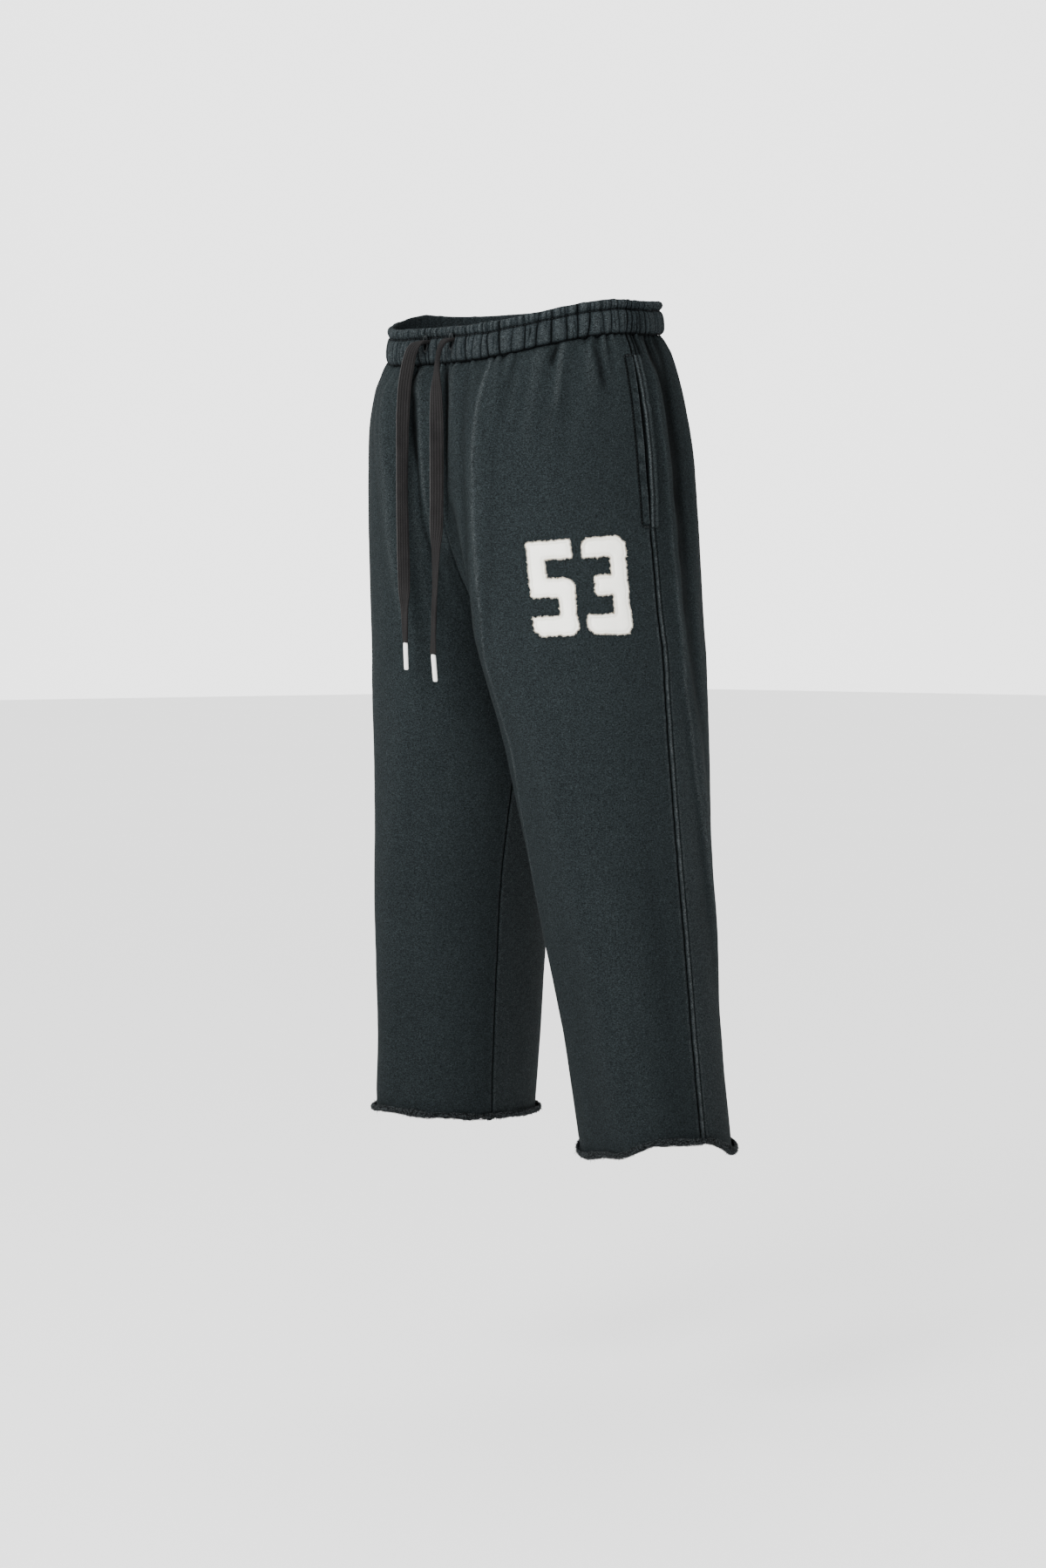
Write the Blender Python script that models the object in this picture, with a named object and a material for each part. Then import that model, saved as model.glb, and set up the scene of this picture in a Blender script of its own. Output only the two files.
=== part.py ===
"""Long sweat shorts in the shape they take when worn, hollow, with an open waist and open hems: four
leg panels, a gathered elastic waistband, side pocket facings, a flat drawcord in two hanging ends with
moulded tips, and two block numerals sewn on one thigh.

Frame: metres, +Z up. The origin is the middle of the waist, level with the waist seam at the sides.
The wearer faces -Y and the wearer's left is +X.
"""

import math
from collections import namedtuple

import bpy
import numpy as np

MM = 0.001

# ---------------------------------------------------------------- driving sizes, in metres
SIDE_LENGTH = 764 * MM  # waist seam to hem, down the side
CROTCH_DEPTH = 298 * MM  # waist seam to crotch point
CLOTH = 2.0 * MM  # brushed-back sweatshirt cloth
SEAM_GAP = 0.3 * MM

BAND_HEIGHT = 33 * MM
BAND_HEIGHT_BACK = 32 * MM
BAND_GATHERS = 90
BAND_COLUMNS = 3  # points across one gather
GATHER_WANDER = 0.16  # how uneven the gathers are spaced, of one gather
GATHER_DEEP = 0.28  # how much one groove is deeper than the next, of the deepest
GATHER_BEATS = (1.7, 0.61, 2.4)  # radians from one gather to the next, for the unevenness
BAND_CLEAR = 0.4 * MM  # between the band and the panels under it
WAIST_POINTS = 121  # on a quarter of the waist line

POCKET_TOP = 19 * MM  # below the waist seam
POCKET_LENGTH = 162 * MM
POCKET_HEM_RISE = 1.5 * MM  # the turned edge of the mouth is twice as thick
POCKET_HEM_START = 0.3  # share of that rise at the very ends of the mouth
POCKET_HEM_EASE = 4  # how fast it comes to its full rise, over the length of the mouth
FACING_WIDTH = 14 * MM
FACING_THICKNESS = 1.2 * MM
LYING_GAP = 0.45 * MM  # between a panel and what is sewn on it

WAIST_DIP_POWER = 1.8  # the waist stays level by the side seams, then dips; less so at right front
NORMAL_STEP_U = 0.0005  # how far apart the surface is read for its normals
NORMAL_STEP_DROP = 1.0 * MM

HEM_ROLL = 3.4 * MM  # how far the raw edge curls out
HEM_EASE = 110 * MM  # the length of leg over which the uneven hem evens out
HEM_PLACES = 8  # round one leg

CORD_WIDTH = 14.0 * MM
CORD_THICKNESS = 2.4 * MM
CORD_STEP = 9.5 * MM
TIP_LENGTH = 26 * MM
TIP_WIDTH = 9.0 * MM
TIP_THICKNESS = 4.2 * MM
TIP_GAP = 0.35 * MM

NUMERAL_CELL = 5.2 * MM  # the numerals are drawn on a grid of cells, this wide
NUMERAL_CELL_HEIGHT = 6.05 * MM
NUMERAL_COLUMNS = 8
NUMERAL_ROWS = 15
NUMERAL_THICKNESS = 1.5 * MM
NUMERAL_SPACE = 9 * MM

# ---------------------------------------------------------------- the form, in millimetres
# One row for each section of a half. "drop" is the depth below the waist seam at the side. The widest
# point is (side_x, side_y). The front and back creases are at (front_x, front_y) and (back_x, back_y).
# The section ends on the rise, and below the crotch on the inseam, at inner_x and the end_y values,
# where it has sunk to end_drop. round_leg goes from 0 on the flat seat to 1 on a round leg.
Section = namedtuple(
    "Section",
    "drop side_x side_y front_x front_y front_end_y front_end_drop "
    "back_x back_y back_end_y back_end_drop inner_x round_leg",
)
SEAT = (
    Section(0, 145, -2, 26, -107, -104, 25, 20, 113, 113, -11, 0, 0),
    Section(9, 149, -1, 31, -112, -107, 33, 24, 119, 119, -1, 0, 0),
    Section(30, 155, 0, 42, -118, -111, 53, 34, 126, 125, 21, 0, 0),
    Section(70, 161, 2, 50, -121, -113, 90, 42, 135, 134, 62, 0, 0),
    Section(120, 166, 4, 54, -119, -110, 136, 48, 143, 141, 114, 0, 0),
    Section(170, 170, 6, 58, -115, -100, 182, 54, 143, 136, 168, 0, 0.1),
    Section(215, 173, 9, 60, -111, -82, 223, 60, 142, 124, 217, 0, 0.3),
    Section(250, 175, 11, 62, -108, -56, 256, 66, 141, 103, 256, 0, 0.6),
    Section(275, 177, 13, 64, -105, -28, 281, 72, 139, 69, 284, 0.4, 0.85),
    Section(298, 179, 15, 68, -102, 8, 302, 78, 137, 8, 302, 1.5, 1),
)
LEFT_LEG = (
    Section(340, 181, 17, 80, -91, 2, 340, 89, 132, 2, 340, 4, 1),
    Section(400, 184, 20, 97, -73, -2, 400, 99, 127, -2, 400, 10, 1),
    Section(506, 192, 24, 114, -58, 2, 506, 113, 119, 2, 506, 33, 1),
    Section(606, 200, 28, 133, -42, 9, 606, 123, 115, 9, 606, 50, 1),
    Section(690, 207, 31, 145, -30, 14, 690, 133, 116, 14, 690, 62, 1),
    Section(764, 213, 34, 155, -20, 18, 764, 142, 121, 18, 764, 74, 1),
)
RIGHT_LEG = (
    Section(340, 181, 17, 74, -99, 2, 340, 88, 131, 2, 340, 4, 1),
    Section(400, 185, 20, 90, -88, -2, 400, 98, 126, -2, 400, 9, 1),
    Section(506, 193, 24, 110, -75, 2, 506, 112, 119, 2, 506, 32, 1),
    Section(606, 201, 28, 126, -60, 9, 606, 121, 121, 9, 606, 48, 1),
    Section(690, 207, 31, 138, -50, 14, 690, 130, 123, 14, 690, 59, 1),
    Section(764, 214, 34, 148, -46, 18, 764, 139, 123, 18, 764, 66, 1),
)

# Where the creases lie across a panel, on a scale from the side seam (0) to the rise or inseam (1).
CreaseAt = namedtuple("CreaseAt", "drop u")
CREASES = (
    CreaseAt(0, 0.86),
    CreaseAt(40, 0.79),
    CreaseAt(100, 0.73),
    CreaseAt(200, 0.67),
    CreaseAt(298, 0.60),
    CreaseAt(400, 0.55),
    CreaseAt(764, 0.52),
)

# How much lower, in millimetres, the raw hem hangs at eight places round each leg.
Hem = namedtuple("Hem", "leg side front_out front front_in inseam back_in back back_out")
HEMS = (
    Hem("left", -6, -8, 8, 15, 8, 1, 5, 12),
    Hem("right", -6, -4, -8, -6, -3, -1, 0, -3),
)

# The largest folds. Each runs straight on its panel from (u0, drop0) to (u1, drop1), where u is 0 at the
# side seam and 1 at the rise or inseam. A ridge has a positive height and a trough a negative one.
# "fade" is the share of its length over which it dies away, at the top and at the foot.
Fold = namedtuple("Fold", "panel u0 drop0 u1 drop1 width height fade_top fade_foot")
FOLDS = (
    Fold("front_left", 0.68, 5, 0.67, 330, 26, 3.4, 0.1, 0.4),
    Fold("front_left", 0.95, 110, 0.80, 300, 22, -3.0, 0.3, 0.3),
    Fold("front_left", 0.30, 0, 0.34, 150, 16, -1.6, 0.05, 0.7),
    Fold("front_left", 0.44, 0, 0.47, 120, 14, 1.6, 0.05, 0.7),
    Fold("front_left", 0.34, 380, 0.31, 900, 58, 8.5, 0.45, 0.1),
    Fold("front_right", 0.69, 5, 0.67, 320, 26, 3.0, 0.1, 0.4),
    Fold("front_right", 0.94, 110, 0.81, 290, 22, -2.6, 0.3, 0.3),
    Fold("front_right", 0.32, 0, 0.36, 170, 16, -1.6, 0.05, 0.7),
    Fold("front_right", 0.45, 420, 0.42, 764, 34, 2.6, 0.5, 0.1),
    Fold("back_left", 0.11, 10, 0.09, 380, 16, 3.4, 0.1, 0.3),
    Fold("back_left", 0.10, 260, 0.28, 660, 17, 3.0, 0.3, 0.3),
    Fold("back_left", 0.18, 20, 0.18, 400, 14, -2.8, 0.1, 0.3),
    Fold("back_left", 0.32, 5, 0.27, 250, 17, 3.0, 0.05, 0.5),
    Fold("back_left", 0.44, 0, 0.48, 210, 16, -2.4, 0.05, 0.6),
    Fold("back_left", 0.62, 200, 0.60, 470, 24, 3.0, 0.4, 0.4),
    Fold("back_left", 0.70, 400, 0.72, 900, 48, 8.5, 0.45, 0.1),
    Fold("back_right", 0.12, 10, 0.22, 560, 17, 2.8, 0.1, 0.35),
    Fold("back_right", 0.19, 20, 0.28, 500, 15, -2.4, 0.1, 0.4),
    Fold("back_right", 0.33, 5, 0.38, 230, 16, 2.4, 0.05, 0.5),
    Fold("back_right", 0.47, 0, 0.50, 200, 16, -2.4, 0.05, 0.6),
    Fold("back_right", 0.60, 210, 0.62, 480, 24, 2.6, 0.4, 0.4),
)

# ---------------------------------------------------------------- functions of the form


def monotone_slopes(knots, values):
    """Slopes at the rows of a table that keep a cubic from overshooting them."""
    step = np.diff(knots)
    grade = np.diff(values, axis=0) / step[:, None]
    slope = np.zeros_like(values)
    slope[0] = grade[0]
    slope[-1] = grade[-1]
    before = grade[:-1]
    after = grade[1:]
    product = before * after
    total = np.where(product > 0, before + after, 1)
    slope[1:-1] = np.where(product > 0, 2 * product / total, 0)
    return slope


def through_rows(knots, values, at):
    """Cubic curve through the rows of a table, read at any place."""
    slope = monotone_slopes(knots, values)
    at = np.clip(at, knots[0], knots[-1])
    row = np.clip(np.searchsorted(knots, at, side="right") - 1, 0, len(knots) - 2)
    span = knots[row + 1] - knots[row]
    t = ((at - knots[row]) / span)[..., None]
    span = span[..., None]
    first = values[row] * (1 + 2 * t) * (1 - t) ** 2 + slope[row] * span * t * (1 - t) ** 2
    second = values[row + 1] * t**2 * (3 - 2 * t) - slope[row + 1] * span * t**2 * (1 - t)
    return first + second


def in_metres(rows):
    table = np.array(rows, float)
    table[:, :-1] *= MM
    return table


LEGS = {"left": in_metres(SEAT + LEFT_LEG), "right": in_metres(SEAT + RIGHT_LEG)}
SIDE_SIGN = {"left": 1.0, "right": -1.0}


def quarter_length(a, b):
    return 0.5 * math.pi * np.sqrt((a * a + b * b) / 2)


def section_at(leg, drop):
    table = LEGS[leg]
    columns = through_rows(table[:, 0], table, np.asarray(drop, float))
    return Section(*np.moveaxis(columns, -1, 0))


def half_of(section, half):
    """(crease x, crease y, end y, end drop) of the front or the back of a section."""
    if half == "front":
        return section.front_x, section.front_y, section.front_end_y, section.front_end_drop
    # Below the crotch the front and the back end on one inseam.
    on_leg = section.drop >= CROTCH_DEPTH
    end_y = np.where(on_leg, section.front_end_y, section.back_end_y)
    end_drop = np.where(on_leg, section.front_end_drop, section.back_end_drop)
    return section.back_x, section.back_y, end_y, end_drop


CREASE_TABLE = np.array(CREASES, float) * (MM, 1)


def crease_u(drop):
    return through_rows(CREASE_TABLE[:, 0], CREASE_TABLE, np.asarray(drop, float))[..., 1]


def seam_to_crease(leg, half, drop):
    """Length of a row from the side seam to the crease."""
    s = section_at(leg, drop)
    crease_x, crease_y, _, _ = half_of(s, half)
    return quarter_length(s.side_x - crease_x, crease_y - s.side_y)


def u_at(leg, half, drop, distance):
    """The u that lies a distance from the side seam, short of the crease."""
    return distance * crease_u(drop) / seam_to_crease(leg, half, drop)


def plain_surface(leg, half, u, drop):
    """Point on the form without folds: u runs from the side seam (0) to the rise or inseam (1)."""
    u, drop = np.broadcast_arrays(np.asarray(u, float), np.asarray(drop, float))
    s = section_at(leg, drop)
    crease_x, crease_y, end_y, end_drop = half_of(s, half)
    share = crease_u(drop)
    t = np.clip(u / share, 0, 1) * math.pi / 2
    x_out = crease_x + (s.side_x - crease_x) * np.cos(t)
    y_out = s.side_y + (crease_y - s.side_y) * np.sin(t)
    k = np.clip((u - share) / (1 - share), 0, 1)
    a = k * math.pi / 2
    flat = 1 - s.round_leg
    x_in = crease_x - (crease_x - s.inner_x) * (s.round_leg * np.sin(a) + flat * k)
    soft = 0.5 - 0.5 * np.cos(2 * a)
    y_in = crease_y + (end_y - crease_y) * (s.round_leg * (1 - np.cos(a)) + flat * soft)
    outside = u < share
    x = np.where(outside, x_out, x_in)
    y = np.where(outside, y_out, y_in)
    power = WAIST_DIP_POWER if (leg, half) != ("right", "front") else 1
    seat_tilt = np.where(outside, np.sin(t), 1) ** power
    tilt = flat * seat_tilt + s.round_leg * np.sin(u * math.pi / 2)
    z = -(drop + (end_drop - drop) * tilt)
    return np.stack([SIDE_SIGN[leg] * x, y, z], -1)


def unit(v):
    return v / np.maximum(np.linalg.norm(v, axis=-1, keepdims=True), 1e-12)


def outward(leg, half, u, drop):
    """Unit normal of the plain form, pointing away from the wearer."""
    du = NORMAL_STEP_U
    dd = NORMAL_STEP_DROP
    low_u = np.clip(u - du, 0, 1)
    high_u = np.clip(u + du, 0, 1)
    low_d = np.clip(drop - dd, 0, SIDE_LENGTH)
    high_d = np.clip(drop + dd, 0, SIDE_LENGTH)
    across = plain_surface(leg, half, high_u, drop) - plain_surface(leg, half, low_u, drop)
    down = plain_surface(leg, half, u, high_d) - plain_surface(leg, half, u, low_d)
    n = unit(np.cross(down, across))
    turn = SIDE_SIGN[leg] * (1 if half == "front" else -1)
    return -n * turn


def fold_height(leg, half, u, drop):
    total = np.zeros(np.broadcast(u, drop).shape)
    length = seam_to_crease(leg, half, drop) / crease_u(drop)
    for fold in FOLDS:
        if fold.panel != f"{half}_{leg}":
            continue
        along = (drop - fold.drop0 * MM) / ((fold.drop1 - fold.drop0) * MM)
        inside = np.clip(along, 0, 1)
        centre = fold.u0 + (fold.u1 - fold.u0) * inside
        across = np.clip((u - centre) * length / (fold.width * MM), -1, 1)
        profile = 0.5 + 0.5 * np.cos(math.pi * across)
        start = np.clip(inside / fold.fade_top, 0, 1)
        stop = np.clip((1 - inside) / fold.fade_foot, 0, 1)
        fade = (0.5 - 0.5 * np.cos(math.pi * start)) * (0.5 - 0.5 * np.cos(math.pi * stop))
        total = total + fold.height * MM * profile * fade
    return total


def hem_wave(leg, half, u, drop):
    """How much lower the uneven raw hem hangs here."""
    heights = next(np.array(row[1:], float) for row in HEMS if row.leg == leg) * MM
    stations = np.append(heights, heights[0])
    across = HEM_PLACES // 2 * u
    turn = across if half == "front" else HEM_PLACES - across
    place = np.clip(turn.astype(int), 0, HEM_PLACES - 1)
    part = 0.5 - 0.5 * np.cos(math.pi * (turn - place))
    height = stations[place] * (1 - part) + stations[place + 1] * part
    near = np.clip(1 - (SIDE_LENGTH - drop) / HEM_EASE, 0, 1) ** 2
    return height * near


def cloth_surface(leg, half, u, drop):
    """Point on the outside of a panel and the unit normal there."""
    u, drop = np.broadcast_arrays(np.asarray(u, float), np.asarray(drop, float))
    n = outward(leg, half, u, drop)
    p = plain_surface(leg, half, u, drop) + n * fold_height(leg, half, u, drop)[..., None]
    p[..., 2] -= hem_wave(leg, half, u, drop)
    return p, n


# ---- building the pieces
ROW_DROPS = np.array(
    [0, 5, 13, 25, 42, 64, 90, 118, 148, 178, 206, 230, 250, 266, 278, 288, 298]
    + [308, 323, 348, 382, 422, 466, 512, 558, 604, 648, 688, 722, 745, 757.0]
)
ROLL_DROPS = SIDE_LENGTH / MM - np.array([5.8, 4.0, 2.0, 0.5, 0.0])
ROLL_SHARES = np.array([0.55, 0.95, 1.0, 0.7, 0.25])
PANEL_DROPS = np.concatenate([ROW_DROPS, ROLL_DROPS]) * MM
PANEL_COLUMNS = np.array(
    [0, 0.035, 0.08, 0.15, 0.22, 0.29, 0.36, 0.43, 0.5, 0.57, 0.64, 0.71, 0.78, 0.85, 0.92, 1]
)


def fresh_scene():
    for obj in list(bpy.data.objects):
        bpy.data.objects.remove(obj)


def material(name, colour, roughness):
    found = bpy.data.materials.get(name)
    if found:
        return found
    made = bpy.data.materials.new(name)
    made.use_nodes = True
    shader = made.node_tree.nodes["Principled BSDF"]
    shader.inputs["Base Color"].default_value = (*colour, 1)
    shader.inputs["Roughness"].default_value = roughness
    return made


def add_mesh(name, points, faces, finish):
    mesh = bpy.data.meshes.new(name)
    mesh.from_pydata([tuple(map(float, p)) for p in points], [], [tuple(map(int, f)) for f in faces])
    mesh.validate()
    mesh.materials.append(finish)
    obj = bpy.data.objects.new(name, mesh)
    bpy.context.scene.collection.objects.link(obj)
    return obj


def walled(outer, inner, flip):
    """Points and faces of a wall between two grids of one shape, closed round its four edges."""
    rows, columns = outer.shape[:2]
    count = rows * columns
    points = np.concatenate([outer.reshape(-1, 3), inner.reshape(-1, 3)])
    index = np.arange(count).reshape(rows, columns)
    faces = []
    for i in range(rows - 1):
        for j in range(columns - 1):
            a, b, c, d = index[i, j], index[i, j + 1], index[i + 1, j + 1], index[i + 1, j]
            faces.append((a, b, c, d))
            faces.append((d + count, c + count, b + count, a + count))
    rim = list(index[0, ::-1]) + list(index[1:, 0]) + list(index[-1, 1:]) + list(index[-2:0:-1, -1])
    for k, a in enumerate(rim):
        b = rim[(k + 1) % len(rim)]
        faces.append((a, b, b + count, a + count))
    if flip:
        faces = [f[::-1] for f in faces]
    return points, faces


def panel_grids(leg, half):
    """Outer and inner points of a panel wall, a row for each drop and a column for each u."""
    u, drop = np.meshgrid(PANEL_COLUMNS, PANEL_DROPS)
    p, n = cloth_surface(leg, half, u, drop)
    roll = np.zeros(len(PANEL_DROPS))
    roll[-len(ROLL_SHARES) :] = ROLL_SHARES * HEM_ROLL
    raised = np.repeat(roll[:, None], len(PANEL_COLUMNS), 1)
    if half == "front":
        along = (PANEL_DROPS - POCKET_TOP) / POCKET_LENGTH
        rising = POCKET_HEM_EASE * np.minimum(along, 1 - along) + POCKET_HEM_START
        mouth = np.clip(rising, 0, 1) * (along > 0) * (along < 1)
        raised[:, 0] += mouth * POCKET_HEM_RISE
        raised[:, 1] += mouth * POCKET_HEM_RISE
    outer = p + n * raised[..., None]
    inner = p - n * CLOTH
    # The pieces part at the side seam and at the rise.
    sign = SIDE_SIGN[leg]
    away = -1 if half == "front" else 1
    for grid in (outer, inner):
        grid[:, 0, 1] += away * SEAM_GAP / 2
        grid[:, -1, 1] += away * SEAM_GAP / 2 * section_at(leg, PANEL_DROPS).round_leg
        grid[..., 0] = sign * np.maximum(sign * grid[..., 0], SEAM_GAP / 2)
    return outer, inner


def read_grid(grid, u, drop):
    """Point of a panel's own faces at any u and drop, between its rows and columns."""
    j = np.interp(u, PANEL_COLUMNS, np.arange(len(PANEL_COLUMNS)))
    i = np.interp(drop, PANEL_DROPS, np.arange(len(PANEL_DROPS)))
    i0 = np.clip(i.astype(int), 0, len(PANEL_DROPS) - 2)
    j0 = np.clip(j.astype(int), 0, len(PANEL_COLUMNS) - 2)
    a = (i - i0)[..., None]
    b = (j - j0)[..., None]
    top = grid[i0, j0] * (1 - b) + grid[i0, j0 + 1] * b
    foot = grid[i0 + 1, j0] * (1 - b) + grid[i0 + 1, j0 + 1] * b
    return top * (1 - a) + foot * a


GRIDS = {(leg, half): panel_grids(leg, half) for leg in LEGS for half in ("front", "back")}


def add_panels(finish):
    for (leg, half), (outer, inner) in GRIDS.items():
        flip = (leg == "left") != (half == "front")
        points, faces = walled(outer, inner, flip)
        add_mesh(f"{half}_{leg}", points, faces, finish)


# ---- waistband
BandRow = namedtuple("BandRow", "height ridge valley")
# Height as a share of the band, and how far out, in millimetres, the gathers and their grooves stand.
BAND_ROWS = (
    BandRow(0, 1.2, 0.4),
    BandRow(0.20, 3.9, 1.5),
    BandRow(0.54, 3.8, 1.4),
    BandRow(0.73, 1.4, 0.5),
    BandRow(0.89, 3.4, 1.0),
)
BAND_INNER_ROWS = (BandRow(1, -0.6, -0.6), BandRow(0, -CLOTH / MM, -CLOTH / MM))
BAND_LEAN = 2.0 * MM  # how far the top leans in over the wearer
BAND_NORMAL_REACH = 6 * MM  # how far to each side the waist line is read for its direction


def waist_line():
    """Closed line of the waist seam, from the left side round the front, with its arc length."""
    u = np.linspace(0, 1, WAIST_POINTS)
    back = u[::-1]
    runs = (("left", "front", u), ("right", "front", back), ("right", "back", u), ("left", "back", back))
    points = np.concatenate([plain_surface(leg, half, run, 0.0)[:-1] for leg, half, run in runs])
    points = np.concatenate([points, points[:1]])
    arc = np.concatenate([[0], np.cumsum(np.linalg.norm(np.diff(points, axis=0), axis=1))])
    return points, arc


def on_waist(arc_at):
    """Point and outward direction of the waist line at a share of its length."""
    points, arc = waist_line()
    at = np.mod(arc_at, 1) * arc[-1]
    p = np.stack([np.interp(at, arc, points[:, k]) for k in range(3)], -1)
    ends = []
    for place in (at - BAND_NORMAL_REACH, at + BAND_NORMAL_REACH):
        ends.append(np.stack([np.interp(np.mod(place, arc[-1]), arc, points[:, k]) for k in range(3)], -1))
    along = ends[1] - ends[0]
    n = unit(np.stack([-along[..., 1], along[..., 0], 0 * along[..., 0]], -1))
    return p, n


def add_waistband(finish):
    columns = BAND_GATHERS * BAND_COLUMNS
    step = np.arange(columns)
    wander = GATHER_WANDER * np.sin(step * GATHER_BEATS[0]) * np.sin(step * GATHER_BEATS[1] + 1)
    p, n = on_waist((step + wander) / columns)
    if np.dot(n[0], p[0]) < 0:
        n = -n
    phase = step % BAND_COLUMNS
    depth = 1 - GATHER_DEEP * (1 - np.sin(step // BAND_COLUMNS * GATHER_BEATS[2]))
    backward = np.clip(p[:, 1] / p[:, 1].max(), 0, 1)
    tall = BAND_HEIGHT + (BAND_HEIGHT_BACK - BAND_HEIGHT) * backward
    rings = []
    for row in BAND_ROWS + BAND_INNER_ROWS:
        swell = np.where(phase == 0, row.ridge + (row.valley - row.ridge) * depth, row.ridge)
        lean = BAND_LEAN * row.height**2
        ring = p + n * (swell * MM - lean)[:, None]
        ring[:, 2] += BAND_CLEAR + row.height * (tall - BAND_CLEAR)
        rings.append(ring)
    points = np.concatenate(rings)
    faces = []
    for i in range(len(rings)):
        low = i * columns
        high = (i + 1) % len(rings) * columns
        for j in range(columns):
            k = (j + 1) % columns
            faces.append((low + j, high + j, high + k, low + k))
    return add_mesh("waistband", points, faces, finish)


# ---- pocket facings
FACING_COLUMNS = 3
FACING_ROWS = 20
FACING_END = 0.55  # how much of the width is left at the two ends of the crescent
FACING_CUT = 0.12  # how far into the crescent the strip starts and ends


def add_facing(leg, finish):
    """Strip that shows behind the pocket mouth, lying on the back panel along the side seam."""
    outer = GRIDS[leg, "back"][0]
    share = np.linspace(0, 1, FACING_COLUMNS)
    drop = np.linspace(POCKET_TOP, POCKET_TOP + POCKET_LENGTH, FACING_ROWS)
    along = np.linspace(FACING_CUT, 1 - FACING_CUT, FACING_ROWS)
    taper = FACING_END + (1 - FACING_END) * np.sin(math.pi * along)
    u = share[None, :] * u_at(leg, "back", drop, FACING_WIDTH * taper)[:, None]
    drop = np.repeat(drop[:, None], FACING_COLUMNS, 1)
    base = read_grid(outer, u, drop)
    n = outward(leg, "back", u, drop)
    low = base + n * LYING_GAP
    high = base + n * (LYING_GAP + FACING_THICKNESS)
    points, faces = walled(high, low, leg == "left")
    return add_mesh(f"pocket_facing_{leg}", points, faces, finish)


# ---- numerals
Bar = namedtuple("Bar", "column row columns rows")
# The strokes of each numeral, in cells from its top left corner.
NUMERALS = {
    "numeral_5": (Bar(0, 0, 8, 3), Bar(0, 3, 3, 3), Bar(0, 6, 8, 3), Bar(5, 9, 3, 3), Bar(0, 12, 8, 3)),
    "numeral_3": (Bar(0, 0, 8, 3), Bar(5, 3, 3, 3), Bar(2, 6, 6, 3), Bar(5, 9, 3, 3), Bar(0, 12, 8, 3)),
}
Cut = namedtuple("Cut", "column row corner")
# Cells that lose a corner, so that the strokes end in plain bevels.
CUTS = {
    "numeral_5": (Cut(7, 6, "ne"), Cut(7, 14, "se"), Cut(0, 14, "sw")),
    "numeral_3": (Cut(0, 0, "nw"), Cut(7, 0, "ne"), Cut(7, 14, "se"), Cut(0, 14, "sw")),
}
NUMERAL_FROM_SEAM = 78 * MM  # from the side seam to the middle of the number
NUMERAL_CENTRE_DROP = 233 * MM
CORNERS = {"nw": (0, 0), "ne": (1, 0), "se": (1, 1), "sw": (0, 1)}


def numeral_cells(name):
    """Flat faces of a numeral as loops of grid corners, clockwise as read."""
    cells = sorted({(c, r) for b in NUMERALS[name] for c in range(b.column, b.column + b.columns)
                    for r in range(b.row, b.row + b.rows)})
    cuts = {(cut.column, cut.row): cut.corner for cut in CUTS[name]}
    loops = []
    for c, r in cells:
        gone = cuts.get((c, r))
        loops.append([(c + x, r + y) for key, (x, y) in CORNERS.items() if key != gone])
    return loops


def on_thigh(across, down):
    """Point and normal on the left front panel, across and down from the middle of the number."""
    drop = NUMERAL_CENTRE_DROP + down
    u = u_at("left", "front", drop, NUMERAL_FROM_SEAM - across)
    return read_grid(GRIDS["left", "front"][0], u, drop), outward("left", "front", u, drop)


def add_numeral(name, left_edge, finish):
    loops = numeral_cells(name)
    corners = sorted({corner for loop in loops for corner in loop})
    index = {corner: k for k, corner in enumerate(corners)}
    grid = np.array(corners, float)
    across = left_edge + grid[:, 0] * NUMERAL_CELL
    down = (grid[:, 1] - NUMERAL_ROWS / 2) * NUMERAL_CELL_HEIGHT
    base, n = on_thigh(across, down)
    count = len(corners)
    points = np.concatenate([base + n * LYING_GAP, base + n * (LYING_GAP + NUMERAL_THICKNESS)])
    faces = []
    edges = {}
    for loop in loops:
        ring = [index[corner] for corner in loop]
        faces.append([k + count for k in ring[::-1]])
        faces.append(ring)
        for a, b in zip(ring, ring[1:] + ring[:1]):
            edges[a, b] = True
    for a, b in edges:
        if (b, a) not in edges:
            faces.append([a, a + count, b + count, b])
    return add_mesh(name, points, faces, finish)


# ---- cords
Stop = namedtuple("Stop", "x y z facing")
# Points of each hanging end, in millimetres, from its buttonhole down. "facing" is the way that the
# flat of the tape looks, in degrees from straight ahead towards the wearer's left.
CORD_ROUTES = {
    "left": (
        Stop(21, -111.5, -3, 0),
        Stop(20, -119, -6, -8),
        Stop(18, -123, -16, -22),
        Stop(16.5, -124, -32, -24),
        Stop(17, -125, -55, 0),
        Stop(18, -125.5, -90, 26),
        Stop(18, -125.5, -140, 34),
        Stop(17.5, -125.5, -176, 24),
        Stop(16.5, -125.5, -203, -24),
        Stop(15, -125.5, -245, -40),
        Stop(13, -125, -278, -42),
        Stop(11.5, -124.5, -299, -34),
    ),
    "right": (
        Stop(-17, -109.9, -3, 0),
        Stop(-18.5, -119, -6, 8),
        Stop(-21.5, -123.5, -14, 16),
        Stop(-25, -125, -28, 24),
        Stop(-27.5, -127, -50, 32),
        Stop(-28.5, -128.5, -90, 42),
        Stop(-29, -128.5, -140, 46),
        Stop(-28.5, -128, -190, 42),
        Stop(-28, -127, -235, 24),
        Stop(-28, -126, -256, -22),
        Stop(-28, -125.5, -288, -36),
    ),
}
CORD_TURN = {"left": 60, "right": 56}  # sets the tape's flat to its facing, in degrees
FINE_POINTS = 400  # on a cord end, to measure its length

TipLevel = namedtuple("TipLevel", "down scale")
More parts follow.
